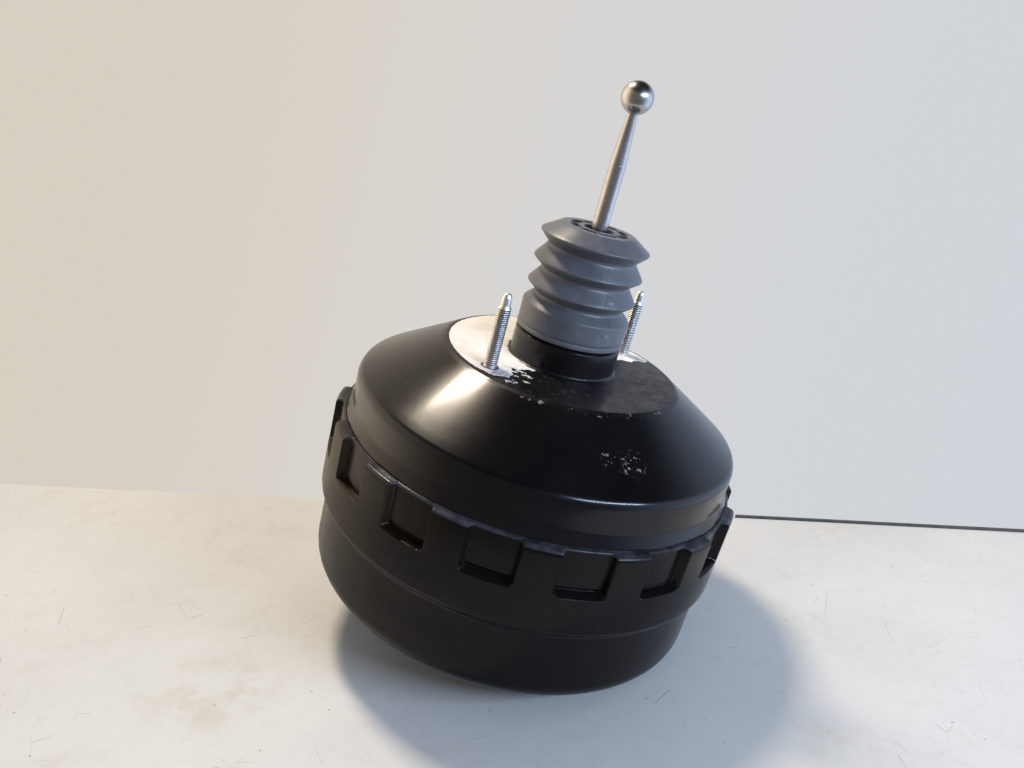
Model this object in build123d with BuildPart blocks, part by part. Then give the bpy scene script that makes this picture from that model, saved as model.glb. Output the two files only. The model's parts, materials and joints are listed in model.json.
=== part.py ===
"""Tandem vacuum brake booster with a ball-ended input rod.

The frame's origin is the centre of the rear mounting face, the gasket's outside, and +Z points along the booster's axis towards
the pedal, and lengths are in millimetres. The front shell carries the master cylinder, the rear shell
bolts to the bulkhead, and the two are locked together by sixteen pockets lanced into the front rim.
"""
import os
from math import cos, radians, sin

from build123d import *

os.makedirs("parts", exist_ok=True)

# ---------------------------------------------------------------- clearances
seat = 0.3  # between pieces that seat on each other but can move apart
running = 0.05  # radial clearance of a running fit
stud_play = 0.15  # radial clearance of a stud's shank in its plates

# ---------------------------------------------------------------- motion
stroke = 32.0  # of the pistons and the output rod
valve_travel = 2.5  # of the plunger in the valve body
rod_swing = 2.5  # degrees, of the input rod each way about its inner ball

# ---------------------------------------------------------------- pressed shells
shell_t = 1.6  # sheet of the two outer shells
plate_t = 1.5  # sheet of the partition and the piston plates
reinforcement_t = 2.5  # both stud plates

neck_r = 34.0
neck_step = 16.3  # height at which the neck narrows for the boot's cuff
cuff_seat_r = 32.0  # outside of the narrowed neck
neck_top = 31.0
flat_margin = 12.5  # from a rear stud out to the mounting flat's edge
band_flare = 2.9  # by which the band under the shoulder is narrower than the skirt
shoulder_z = -31.0
band_end = -50.0
bead_z = -56.5
lock_z = -84.0  # lanced lower edge of the pockets
step_gap = 1.0  # from the lanced edge down to the rear shell's step
drum_r = 134.5  # outside of the front shell's rim
rim_top = -57.4
joggle_top = -109.0
joggle_bottom = -114.0
joggle_in = 4.5  # by which the drum narrows at its joggle
face_z = -164.0  # front shell's outer face
corner_r = 14.0
boss_inset = 52.0  # from the lower drum in to the boss's foot
boss_slope = 10.0  # width of the boss's sloping edge
boss_z = -172.0  # flat that carries the master cylinder
pilot_r = 20.0  # hole for the master cylinder's spigot
pilot_depth = 9.0
rear_bends = (0.8, 1.0, 2.0, 3.0, 7.0, 5.0, 3.0, 2.0, 2.0)  # outer radii, from the neck's mouth down
front_bends = (3.5, 4.0, 5.0, corner_r, 6.0, 6.0, 2.0)  # outer radii, from the rim down to the pilot hole
reinforcement_gap = 4.8  # from the flat's edge in to the stud plate's
collar_gap = 3.2  # from the neck, or from the pilot hole, out to a stud plate's bore

# ---------------------------------------------------------------- locking pockets
pocket_count = 16
pocket_start = -93.0  # degrees, middle of the first pocket
pocket_w = 27.5  # across the pocket's floor
pocket_depth = 4.9  # from the drum's outside in to the pocket's floor
pocket_lance = 2.6  # slot that the lance leaves under the floor
pocket_draft = 14.0  # degrees, of the pocket's side walls
pocket_corner = 2.5

# ---------------------------------------------------------------- studs
stud_r = 4.0  # M8 major radius
shank_r = 4.2  # splined part of the stud, inside its plates
stud_head_r = 7.5
stud_head_t = 3.5
rear_stud_offset = 63.0
rear_stud_angle = 51.5  # degrees, of the first stud; the other is opposite
rear_thread_end = 37.6
rear_stud_tip = 45.5
dog_r = 2.9
dog_cone = 3.0
dog_tip_r = 0.7
front_stud_offset = 40.0
front_stud_angle = 90.0
front_stud_tip = -193.5
stud_lead = 1.2  # chamfer of the thread's end

# ---------------------------------------------------------------- partition and its seals
skirt_to_joggle = 12.0  # from the skirt's lower edge down to the joggle
bead_h = 7.8  # rear diaphragm's outer bead
bead_w = 7.0
partition_gap = 12.0  # left between the rear plate and the partition at full stroke
partition_flat_r = 66.0
partition_inset = 13.0  # from the lower drum in to the partition's wall
cone_step = 5.0  # from the partition's wall in to its cone
partition_wall_h = 14.4
partition_bends = (2.0, 6.0, 6.0, 3.0)
hub_r = 36.0  # inside of the partition's hub
hub_depth = 10.0
sleeve_r = 30.0  # spacer that runs in the partition's seal

# ---------------------------------------------------------------- valve body
tail_r = 21.5
tail_bore_r = 19.0
tail_top = 83.0
valve_seat_z = 11.3
valve_seat_r = 12.5
shoulder_r = 40.0
shoulder_t = 8.0
core_r = 26.0
core_tail = 2.0  # of the core below the plates' retainer
nose_bore_r = 15.0
nose_bore_depth = 18.0
key_channel_w = 18.6
key_channel_h = 6.0
passage_r = 2.6  # vacuum passages that join the chambers to the valve
passage_circle_r = 22.3
passage_count = 6
passage_start = 30.0  # degrees

# ---------------------------------------------------------------- pistons and diaphragms
rubber_t = 1.8
plate_flat_r = 64.0
rear_plate_inset = 18.0  # from the lower drum in to the rear plate's skirt
front_plate_inset = 30.0
plate_drop = 30.0
plate_skirt = 8.0
plate_bends = (6.0, 4.0)
fold_lead = 1.0  # by which a diaphragm's bends lie outside its plate's
rear_fold = (7.0, 5.0, 5.0)
front_fold = (7.0, 5.0, 4.0, 2.0)
hub_gap = 2.3  # from the partition's hub down to the front diaphragm
retainer_r = 33.0
retainer_t = 6.4
retainer_notch_r = 3.0
retainer_notches = 6
front_bead_h = 6.8
front_bead_w = 7.0

# ---------------------------------------------------------------- control valve
ball_joint_z = 4.0
inner_ball_r = 5.3
socket_mouth_r = 4.6
plunger_r = 7.0
plunger_nose_r = 5.0
plunger_nose_length = 12.5
plunger_gap = 3.5  # from the nose down to the reaction disc's bore
plunger_relief = 1.0  # of the bore beyond the plunger's travel
groove_r = 4.8
key_t = 2.5
key_w = 18.0
key_reach = 38.5
key_tail = 8.0
plunger_head_r = 11.0
plunger_head_z = 0.0
plunger_head_step = 0.7  # of the plunger's seat above the valve body's
poppet_lift = 1.0  # of the poppet's face above the valve body's seat
poppet_r = 16.0
poppet_bore_r = 8.5
poppet_wall = 2.0
poppet_face_t = 3.2
poppet_top = 28.5
poppet_flange_t = 2.5
retainer_cup_t = 1.5
retainer_cup_wall = 1.0
retainer_lip = 1.0  # of the cup inside the poppet's bore
retainer_cup_h = 7.0
spring_seat_z = 58.3
spring_seat_r = 16.4
spring_seat_t = 1.6
filter_bottom = 65.0
filter_top = 78.0
silencer_t = 3.2
filter_bore_r = 9.0

# ---------------------------------------------------------------- input rod
rod_r = 5.0
rod_neck_r = 3.6
rod_neck_top = 14.0
rod_neck_taper = 2.0
rod_collar_r = 6.6
rod_collar_t = 2.0
taper_start = 125.0
taper_top_r = 3.5
ball_z = 163.4
ball_r = 9.5
ball_root = 1.0  # by which the taper runs into the ball

# ---------------------------------------------------------------- output side
reaction_t = 7.0
output_head_t = 9.4
output_rod_r = 6.0
output_flare_r = 9.0
output_flare_h = 4.0
output_tip_z = -182.0
output_lead = 2.0

# ---------------------------------------------------------------- springs
main_spring_r = 56.0
main_spring_wire = 4.5
main_spring_sides = 8
main_spring_pitch = 18.0
small_spring_sides = 6
return_spring_r = 15.4
return_spring_wire = 1.6
return_spring_pitch = 5.4
poppet_spring_r = 10.6
poppet_spring_wire = 1.2
poppet_spring_pitch = 8.0

# ---------------------------------------------------------------- guide ring and seals in the neck
guide_bottom = 18.0
guide_h = 10.0
guide_lead = 0.5
guide_seal_bottom = 2.5
guide_seal_h = 12.0
lip_taper = 1.0

# ---------------------------------------------------------------- dust boot
boot_t = 1.8
cuff_bottom = 18.4
cuff_r = 34.1
cuff_top = 33.5
crest_r = 34.6
valley_r = 27.4
crest_z = (46.7, 62.1, 78.7)
valley_z = (41.0, 56.5, 71.5)
boot_top = 86.0
boot_top_r = 23.2
boot_hole_r = 9.4
slot_count = 8
slot_inner_r = 12.5
slot_outer_r = 18.5
slot_arc = 24.0  # degrees
boot_bends = (2.5, 2.0, 1.4, 2.0, 1.4, 2.0, 1.4, 1.0)

# ---------------------------------------------------------------- vacuum port
port_angle = 150.0
port_inset = 35.0  # from the lower drum in to the port
port_hole_r = 9.5
grommet_r = 12.5
valve_case_r = 7.4
valve_case_drop = 13.0
valve_case_rim = 2.0
valve_case_barb = 1.0
valve_case_tip = 3.0
nipple_r = 5.5
nipple_bore_r = 3.0
nipple_length = 18.0
nipple_lead = 0.6
nipple_taper = 40.0  # degrees, of the nipple's tip
elbow_r = 9.0
elbow_bend_r = 8.0
elbow_root = 1.0  # by which the elbow starts inside the case
check_chamber_r = 6.0
check_chamber_h = 6.5
check_disc_r = 5.4
check_disc_t = 1.5
check_lift = 1.2
check_wall = 3.0  # of the case above the chamber
check_wire = 0.7
check_spring_r = 4.2
check_turns = 3
check_wire_sides = 4
grommet_lip = 2.2
grommet_barb = 3.5

# ---------------------------------------------------------------- paper gasket
paper_t = 0.25
paper_margin = 1.5  # inside the flat's edge
paper_neck_gap = 3.5
paper_stud_r = 5.5

# ---------------------------------------------------------------- derived places
flat_z = -paper_t  # of the rear shell, under the gasket
pocket_floor_r = drum_r - pocket_depth
skirt_r = pocket_floor_r - shell_t - 2 * seat  # of the rear shell inside the pockets
band_r = skirt_r - band_flare
skirt_end = joggle_top + skirt_to_joggle  # lower edge of the rear shell's skirt
flat_r = rear_stud_offset + flat_margin  # rear mounting flat
lower_r = drum_r - joggle_in
boss_foot_r = lower_r - boss_inset
boss_r = boss_foot_r - boss_slope
rim_flange_r = drum_r - shell_t - 2 * seat
partition_wall_r = lower_r - partition_inset
partition_cone_r = partition_wall_r - cone_step
stack_top = flat_z - shell_t - reinforcement_t  # underside of the rear stud plate
shoulder_top = stack_top - seat
shoulder_bottom = shoulder_top - shoulder_t
rear_plate_r = lower_r - rear_plate_inset
rear_plate_z = shoulder_bottom - rubber_t
partition_z = rear_plate_z - plate_t - stroke - partition_gap
partition_rim_z = skirt_end - seat - bead_h - seat
partition_cone_z = partition_rim_z + partition_wall_h
front_diaphragm_z = partition_z - hub_depth - hub_gap
front_plate_r = lower_r - front_plate_inset
front_plate_z = front_diaphragm_z - rubber_t
core_end = front_plate_z - plate_t - retainer_t - core_tail
nose_bore_end = core_end + nose_bore_depth
plunger_end = nose_bore_end + plunger_gap
plunger_nose_step = plunger_end + plunger_nose_length
front_stack_z = boss_z + shell_t + reinforcement_t  # inside of the front stud plate
port_circle_r = lower_r - port_inset
key_z = shoulder_top - seat
joggle_slope = (drum_r - lower_r) / (joggle_top - joggle_bottom)
pocket_angles = [pocket_start + n * 360 / pocket_count for n in range(pocket_count)]


def rim_bore_at(z):
    """Inside radius of the front shell from the rim down through its joggle."""
    normal = (1 + joggle_slope**2) ** 0.5
    return min(drum_r - shell_t, drum_r - shell_t * normal - (joggle_top - z) * joggle_slope)


def radial_plane(angle, radius, height):
    """Plane that faces outwards at an angle about the booster's axis, with its y direction up."""
    return Plane(
        origin=Vector(radius, 0, height).rotate(Axis.Z, angle),
        x_dir=Vector(0, 1, 0).rotate(Axis.Z, angle),
        z_dir=Vector(1, 0, 0).rotate(Axis.Z, angle),
    )


def on_circle(radius, angle):
    """Point on a circle about the booster's axis."""
    return (radius * cos(radians(angle)), radius * sin(radians(angle)))


# ================================================================ shells
with BuildPart() as rear_shell:
    with BuildSketch(Plane.XZ):
        with BuildLine():
            FilletPolyline(
                (cuff_seat_r, neck_top),
                (cuff_seat_r, neck_step + shell_t),
                (neck_r, neck_step),
                (neck_r, flat_z),
                (flat_r, flat_z),
                (band_r, shoulder_z),
                (band_r, band_end),
                (skirt_r, bead_z),
                (skirt_r, lock_z - step_gap),
                (drum_r - shell_t - seat, lock_z - step_gap - (drum_r - shell_t - seat - skirt_r)),
                (drum_r - shell_t - seat, skirt_end),
                radius=rear_bends,
            )
            offset(amount=shell_t, side=Side.RIGHT, closed=True)
        make_face()
    revolve(axis=Axis.Z)
    with BuildSketch(Plane.XY.offset(flat_z)):
        with PolarLocations(rear_stud_offset, 2, start_angle=rear_stud_angle):
            Circle(shank_r + stud_play)
    extrude(amount=-shell_t, mode=Mode.SUBTRACT)

rear_shell.part.label = "rear_shell"
export_step(rear_shell.part, "parts/rear_shell.step")

# The rim is turned in over the rear shell, and each pocket is a pan pressed inwards from it. The pan is
# cut free along its lower edge, which bears on the step of the rear shell's skirt.
with BuildPart() as front_shell:
    with BuildSketch(Plane.XZ):
        with BuildLine():
            FilletPolyline(
                (skirt_r + seat, rim_top),
                (drum_r, rim_top),
                (drum_r, joggle_top),
                (lower_r, joggle_bottom),
                (lower_r, face_z),
                (boss_foot_r, face_z),
                (boss_r, boss_z),
                (pilot_r, boss_z),
                (pilot_r, boss_z + pilot_depth),
                radius=front_bends,
            )
            offset(amount=shell_t, side=Side.RIGHT, closed=True)
        make_face()
    revolve(axis=Axis.Z)
    pan_h = rim_top - lock_z - pocket_lance
    pan_mid = rim_top - pan_h / 2
    pan_back_r = skirt_r + seat
    with BuildSketch(*[radial_plane(angle, pan_back_r, pan_mid) for angle in pocket_angles]):
        Rectangle(pocket_w + 2 * shell_t, pan_h)
    extrude(amount=drum_r - shell_t / 2 - pan_back_r, taper=-pocket_draft)
    recess_top = rim_top + 3 * seat
    recess_h = recess_top - lock_z
    with BuildSketch(*[radial_plane(a, pocket_floor_r, recess_top - recess_h / 2) for a in pocket_angles]) as recess:
        Rectangle(pocket_w, recess_h)
        fillet(recess.vertices().group_by(Axis.Z)[0], pocket_corner)
    extrude(amount=drum_r - pocket_floor_r + seat, taper=-pocket_draft, mode=Mode.SUBTRACT)
    with BuildSketch(Plane.XY.offset(boss_z)):
        with PolarLocations(front_stud_offset, 2, start_angle=front_stud_angle):
            Circle(shank_r + stud_play)
    extrude(amount=shell_t, mode=Mode.SUBTRACT)
    with BuildSketch(Plane.XY.offset(face_z)):
        with Locations(on_circle(port_circle_r, port_angle)):
            Circle(port_hole_r)
    extrude(amount=shell_t, mode=Mode.SUBTRACT)

front_shell.part.label = "front_shell"
export_step(front_shell.part, "parts/front_shell.step")

with BuildPart() as partition_shell:
    with BuildSketch(Plane.XZ):
        with BuildLine():
            FilletPolyline(
                (hub_r, partition_z - hub_depth),
                (hub_r, partition_z),
                (partition_flat_r, partition_z),
                (partition_cone_r, partition_cone_z),
                (partition_wall_r, partition_rim_z),
                (rim_flange_r, partition_rim_z),
                radius=partition_bends,
            )
            offset(amount=plate_t, side=Side.RIGHT, closed=True)
        make_face()
    revolve(axis=Axis.Z)

partition_shell.part.label = "partition_shell"
export_step(partition_shell.part, "parts/partition_shell.step")

with BuildPart() as rear_reinforcement:
    with BuildSketch(Plane.XY.offset(stack_top)):
        Circle(flat_r - reinforcement_gap)
        Circle(neck_r + collar_gap, mode=Mode.SUBTRACT)
        with PolarLocations(rear_stud_offset, 2, start_angle=rear_stud_angle):
            Circle(shank_r + stud_play, mode=Mode.SUBTRACT)
    extrude(amount=reinforcement_t)

rear_reinforcement.part.label = "rear_reinforcement"
export_step(rear_reinforcement.part, "parts/rear_reinforcement.step")

with BuildPart() as front_reinforcement:
    with BuildSketch(Plane.XY.offset(boss_z + shell_t)):
        Circle(main_spring_r - main_spring_wire)
        Circle(pilot_r + collar_gap, mode=Mode.SUBTRACT)
        with PolarLocations(front_stud_offset, 2, start_angle=front_stud_angle):
            Circle(shank_r + stud_play, mode=Mode.SUBTRACT)
    extrude(amount=reinforcement_t)

front_reinforcement.part.label = "front_reinforcement"
export_step(front_reinforcement.part, "parts/front_reinforcement.step")

# ================================================================ studs
with BuildPart() as rear_studs:
    with PolarLocations(rear_stud_offset, 2, start_angle=rear_stud_angle):
        with Locations((0, 0, stack_top - stud_head_t)):
            Cylinder(stud_head_r, stud_head_t, align=(Align.CENTER, Align.CENTER, Align.MIN))
        with Locations((0, 0, stack_top)):
            Cylinder(shank_r, flat_z - stack_top, align=(Align.CENTER, Align.CENTER, Align.MIN))
        with Locations((0, 0, flat_z)):
            Cylinder(stud_r, rear_thread_end - flat_z - stud_lead, align=(Align.CENTER, Align.CENTER, Align.MIN))
        with Locations((0, 0, rear_thread_end - stud_lead)):
            Cone(stud_r, dog_r, stud_lead, align=(Align.CENTER, Align.CENTER, Align.MIN))
        with Locations((0, 0, rear_thread_end)):
            dog_h = rear_stud_tip - rear_thread_end - dog_cone
            Cylinder(dog_r, dog_h, align=(Align.CENTER, Align.CENTER, Align.MIN))
        with Locations((0, 0, rear_stud_tip - dog_cone)):
            Cone(dog_r, dog_tip_r, dog_cone, align=(Align.CENTER, Align.CENTER, Align.MIN))

rear_studs.part.label = "rear_studs"
export_step(rear_studs.part, "parts/rear_studs.step")

with BuildPart() as front_studs:
    with PolarLocations(front_stud_offset, 2, start_angle=front_stud_angle):
        with Locations((0, 0, front_stack_z + stud_head_t)):
            Cylinder(stud_head_r, stud_head_t, align=(Align.CENTER, Align.CENTER, Align.MAX))
        with Locations((0, 0, front_stack_z)):
            Cylinder(shank_r, front_stack_z - boss_z, align=(Align.CENTER, Align.CENTER, Align.MAX))
        with Locations((0, 0, boss_z)):
            thread = boss_z - front_stud_tip - stud_lead
            Cylinder(stud_r, thread, align=(Align.CENTER, Align.CENTER, Align.MAX))
        with Locations((0, 0, front_stud_tip)):
            Cone(stud_r - stud_lead, stud_r, stud_lead, align=(Align.CENTER, Align.CENTER, Align.MIN))

front_studs.part.label = "front_studs"
export_step(front_studs.part, "parts/front_studs.step")

# ================================================================ ring and seals that guide the pistons
with BuildPart() as guide_bush:
    with BuildSketch(Plane.XY.offset(guide_bottom)):
        Circle(cuff_seat_r - shell_t - running)
        Circle(tail_r + running, mode=Mode.SUBTRACT)
    extrude(amount=guide_h)
    chamfer(guide_bush.edges().filter_by(GeomType.CIRCLE).sort_by(SortBy.RADIUS)[:2], guide_lead)

guide_bush.part.label = "guide_bush"
export_step(guide_bush.part, "parts/guide_bush.step")

# Lip seal: a channel section that opens towards the pressure, with a lip on the valve body's tail.
with BuildPart() as guide_seal:
    with BuildSketch(Plane.XZ):
        with BuildLine():
            outer_r = neck_r - shell_t - running
            lip_r = tail_r + seat
            Polyline(
                (outer_r, guide_seal_bottom),
                (outer_r, guide_seal_bottom + guide_seal_h),
                (lip_r, guide_seal_bottom + guide_seal_h),
                (lip_r, guide_seal_bottom + guide_seal_h / 4),
                (lip_r + rubber_t, guide_seal_bottom + guide_seal_h / 4),
                (lip_r + rubber_t + lip_taper, guide_seal_bottom + guide_seal_h / 2),
                (outer_r - rubber_t - lip_taper, guide_seal_bottom + guide_seal_h / 2),
                (outer_r - rubber_t, guide_seal_bottom),
                close=True,
            )
        make_face()
    revolve(axis=Axis.Z)

guide_seal.part.label = "guide_seal"
export_step(guide_seal.part, "parts/guide_seal.step")

with BuildPart() as partition_seal:
    with BuildSketch(Plane.XZ):
        with BuildLine():
            seal_top = partition_z - seat
            seal_end = partition_z - hub_depth + seat
            Polyline(
                (hub_r - running, seal_top),
                (hub_r - running, seal_end),
                (hub_r - rubber_t, seal_end),
                (hub_r - 2 * rubber_t, (seal_top + seal_end) / 2),
                (sleeve_r + seat + rubber_t, seal_end),
                (sleeve_r + seat, seal_end),
                (sleeve_r + seat, seal_top),
                close=True,
            )
        make_face()
    revolve(axis=Axis.Z)

partition_seal.part.label = "partition_seal"
export_step(partition_seal.part, "parts/partition_seal.step")

# ================================================================ pistons
with BuildPart() as rear_plate:
    with BuildSketch(Plane.XZ):
        with BuildLine():
            FilletPolyline(
                (core_r + seat, rear_plate_z),
                (plate_flat_r, rear_plate_z),
                (rear_plate_r, rear_plate_z - plate_drop),
                (rear_plate_r, rear_plate_z - plate_drop - plate_skirt),
                radius=plate_bends,
            )
            offset(amount=plate_t, side=Side.RIGHT, closed=True)
        make_face()
    revolve(axis=Axis.Z)

rear_plate.part.label = "rear_plate"
export_step(rear_plate.part, "parts/rear_plate.step")

with BuildPart() as front_plate:
    with BuildSketch(Plane.XZ):
        with BuildLine():
            FilletPolyline(
                (core_r + seat, front_plate_z),
                (plate_flat_r, front_plate_z),
                (front_plate_r, front_plate_z - plate_drop),
                (front_plate_r, front_plate_z - plate_drop - plate_skirt),
                radius=plate_bends,
            )
            offset(amount=plate_t, side=Side.RIGHT, closed=True)
        make_face()
    revolve(axis=Axis.Z)

front_plate.part.label = "front_plate"
export_step(front_plate.part, "parts/front_plate.step")

with BuildPart() as plate_spacer:
    with BuildSketch(Plane.XY.offset(front_diaphragm_z)):
        Circle(sleeve_r)
        Circle(core_r + running, mode=Mode.SUBTRACT)
    extrude(amount=rear_plate_z - plate_t - front_diaphragm_z)

plate_spacer.part.label = "plate_spacer"
export_step(plate_spacer.part, "parts/plate_spacer.step")

with BuildPart() as plate_retainer:
    with BuildSketch(Plane.XY.offset(front_plate_z - plate_t)):
        Circle(retainer_r)
        Circle(core_r + running, mode=Mode.SUBTRACT)
    extrude(amount=-retainer_t)
    with BuildSketch(Plane.XY.offset(front_plate_z - plate_t - retainer_t)):
        with PolarLocations(retainer_r, retainer_notches):
            Circle(retainer_notch_r)
    extrude(amount=retainer_t / 2, mode=Mode.SUBTRACT)

plate_retainer.part.label = "plate_retainer"
export_step(plate_retainer.part, "parts/plate_retainer.step")

# Each diaphragm lies on its plate, turns down over the plate's skirt and ends in a bead that the rim clamps.
with BuildPart() as rear_diaphragm:
    with BuildSketch(Plane.XZ):
        with BuildLine():
            wrap_r = rear_plate_r + seat + rubber_t
            bead_top = skirt_end - seat
            FilletPolyline(
                (core_r + seat, shoulder_bottom),
                (plate_flat_r + fold_lead, shoulder_bottom),
                (wrap_r, rear_plate_z - plate_drop + rubber_t),
                (wrap_r, bead_top + 2 * rubber_t),
                (rim_flange_r - bead_w / 2, bead_top - rubber_t),
                radius=rear_fold,
            )
            offset(amount=rubber_t, side=Side.RIGHT, closed=True)
        make_face()
        with Locations((rim_flange_r - seat, bead_top)):
            Rectangle(bead_w, bead_h, align=(Align.MAX, Align.MAX))
    revolve(axis=Axis.Z)

rear_diaphragm.part.label = "rear_diaphragm"
export_step(rear_diaphragm.part, "parts/rear_diaphragm.step")

with BuildPart() as front_diaphragm:
    with BuildSketch(Plane.XZ):
        bead_top_z = partition_rim_z - plate_t - seat
        bead_end_z = bead_top_z - front_bead_h
        bead_in_r = rim_bore_at(bead_end_z) - 2 * seat - front_bead_w
        with BuildLine():
            wrap_r = front_plate_r + seat + rubber_t
            loop_z = bead_end_z - 3 * rubber_t
            FilletPolyline(
                (core_r + seat, front_diaphragm_z),
                (plate_flat_r + fold_lead, front_diaphragm_z),
                (wrap_r, front_plate_z - plate_drop + rubber_t),
                (wrap_r, loop_z),
                (bead_in_r - fold_lead, loop_z),
                (bead_in_r + front_bead_w / 3, bead_end_z + rubber_t),
                radius=front_fold,
            )
            offset(amount=rubber_t, side=Side.RIGHT, closed=True)
        make_face()
        with BuildLine():
            Polyline(
                (bead_in_r, bead_top_z),
                (rim_bore_at(bead_top_z) - 2 * seat, bead_top_z),
                (rim_bore_at(bead_end_z) - 2 * seat, bead_end_z),
                (bead_in_r, bead_end_z),
                close=True,
            )
        make_face()
    revolve(axis=Axis.Z)

front_diaphragm.part.label = "front_diaphragm"
export_step(front_diaphragm.part, "parts/front_diaphragm.step")

# ================================================================ valve body
with BuildPart() as valve_body:
    with BuildSketch(Plane.XZ):
        with BuildLine():
            Polyline(
                (tail_bore_r, tail_top),
                (tail_r, tail_top),
                (tail_r, shoulder_top),
                (shoulder_r, shoulder_top),
                (shoulder_r, shoulder_bottom),
                (core_r, shoulder_bottom),
                (core_r, core_end),
                (nose_bore_r + running, core_end),
                (nose_bore_r + running, nose_bore_end),
                (plunger_nose_r + running, nose_bore_end),
                (plunger_nose_r + running, plunger_nose_step - valve_travel - plunger_relief),
                (plunger_r + running, plunger_nose_step - valve_travel - plunger_relief),
                (plunger_r + running, plunger_head_z - valve_travel - 2 * seat),
                (valve_seat_r, plunger_head_z - valve_travel - 2 * seat),
                (valve_seat_r, valve_seat_z),
                (tail_bore_r, valve_seat_z),
                close=True,
            )
        make_face()
    revolve(axis=Axis.Z)
    with BuildSketch(Plane.XY.offset(shoulder_top)):
        with Locations((-key_tail - seat, 0)):
            Rectangle(shoulder_r + key_tail + 2 * seat, key_channel_w, align=(Align.MIN, Align.CENTER))
    extrude(amount=-key_channel_h, mode=Mode.SUBTRACT)
    with BuildSketch(Plane.XY.offset(core_end)):
        with PolarLocations(passage_circle_r, passage_count, start_angle=passage_start):
            Circle(passage_r)
    extrude(amount=shoulder_bottom - core_end - seat, mode=Mode.SUBTRACT)

valve_body.part.label = "valve_body"
export_step(valve_body.part, "parts/valve_body.step")

# Forked key that straddles the plunger's groove and stops it at both ends of its travel.
with BuildPart() as stop_key:
    with BuildSketch(Plane.XY.offset(key_z)) as fork:
        with Locations((-key_tail, 0)):
            Rectangle(key_tail + key_reach, key_w, align=(Align.MIN, Align.CENTER))
        fillet(fork.vertices().group_by(Axis.X)[-1], key_w / 5)
        Circle(groove_r + seat, mode=Mode.SUBTRACT)
        Rectangle(2 * key_tail, 2 * (groove_r + seat), align=(Align.MAX, Align.CENTER), mode=Mode.SUBTRACT)
    extrude(amount=-key_t)

stop_key.part.label = "stop_key"
export_step(stop_key.part, "parts/stop_key.step")

with BuildPart() as reaction_disc:
    with BuildSketch(Plane.XY.offset(nose_bore_end - seat)):
        Circle(nose_bore_r - 2 * seat)
    extrude(amount=-reaction_t)

reaction_disc.part.label = "reaction_disc"
export_step(reaction_disc.part, "parts/reaction_disc.step")

with BuildPart() as output_rod:
    head_z = nose_bore_end - seat - reaction_t - seat
    with BuildSketch(Plane.XZ):
        with BuildLine():
            Polyline(
                (0, head_z),
                (nose_bore_r - seat, head_z),
                (nose_bore_r - seat, head_z - output_head_t),
                (output_flare_r, head_z - output_head_t),
                (output_rod_r, head_z - output_head_t - output_flare_h),
                (output_rod_r, output_tip_z + output_lead),
                (output_rod_r - output_lead, output_tip_z),
                (0, output_tip_z),
                close=True,
            )
        make_face()
    revolve(axis=Axis.Z)

output_rod.part.label = "output_rod"
export_step(output_rod.part, "parts/output_rod.step")

# ================================================================ control valve and input rod
with BuildPart() as valve_plunger:
    head_top = valve_seat_z + plunger_head_step
    with BuildSketch(Plane.XZ):
        with BuildLine():
            groove_top = key_z + seat
            groove_end = key_z - key_t - seat
            Polyline(
                (0, head_top),
                (plunger_head_r, head_top),
                (plunger_head_r, plunger_head_z),
                (plunger_r, plunger_head_z),
                (plunger_r, groove_top),
                (groove_r, groove_top),
                (groove_r, groove_end),
                (plunger_r, groove_end),
                (plunger_r, plunger_nose_step),
                (plunger_nose_r, plunger_nose_step),
                (plunger_nose_r, plunger_end),
                (0, plunger_end),
                close=True,
            )
        make_face()
    revolve(axis=Axis.Z)
    with Locations((0, 0, ball_joint_z)):
        Sphere(inner_ball_r + running, mode=Mode.SUBTRACT)
    with BuildSketch(Plane.XY.offset(ball_joint_z)):
        Circle(socket_mouth_r)
    extrude(amount=head_top - ball_joint_z, mode=Mode.SUBTRACT)

valve_plunger.part.label = "valve_plunger"
export_step(valve_plunger.part, "parts/valve_plunger.step")

with BuildPart() as input_rod:
    with BuildSketch(Plane.XZ):
        with BuildLine():
            Polyline(
                (0, ball_joint_z),
                (rod_neck_r, ball_joint_z),
                (rod_neck_r, rod_neck_top),
                (rod_r, rod_neck_top + rod_neck_taper),
                (rod_r, spring_seat_z + spring_seat_t),
                (rod_collar_r, spring_seat_z + spring_seat_t),
                (rod_collar_r, spring_seat_z + spring_seat_t + rod_collar_t),
                (rod_r, spring_seat_z + spring_seat_t + rod_collar_t),
                (rod_r, taper_start),
                (taper_top_r, ball_z - ball_r + ball_root),
                (taper_top_r, ball_z),
                (0, ball_z),
                close=True,
            )
        make_face()
    revolve(axis=Axis.Z)
    with Locations((0, 0, ball_joint_z)):
        Sphere(inner_ball_r)
    with Locations((0, 0, ball_z)):
        Sphere(ball_r)

input_rod.part.label = "input_rod"
export_step(input_rod.part, "parts/input_rod.step")

with BuildPart() as spring_seat:
    with BuildSketch(Plane.XZ):
        with BuildLine():
            Polyline(
                (rod_r + running, spring_seat_z),
                (spring_seat_r, spring_seat_z),
                (spring_seat_r, spring_seat_z + spring_seat_t),
                (rod_r + running, spring_seat_z + spring_seat_t),
                close=True,
            )
        make_face()
    revolve(axis=Axis.Z)

spring_seat.part.label = "spring_seat"
export_step(spring_seat.part, "parts/spring_seat.step")

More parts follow.
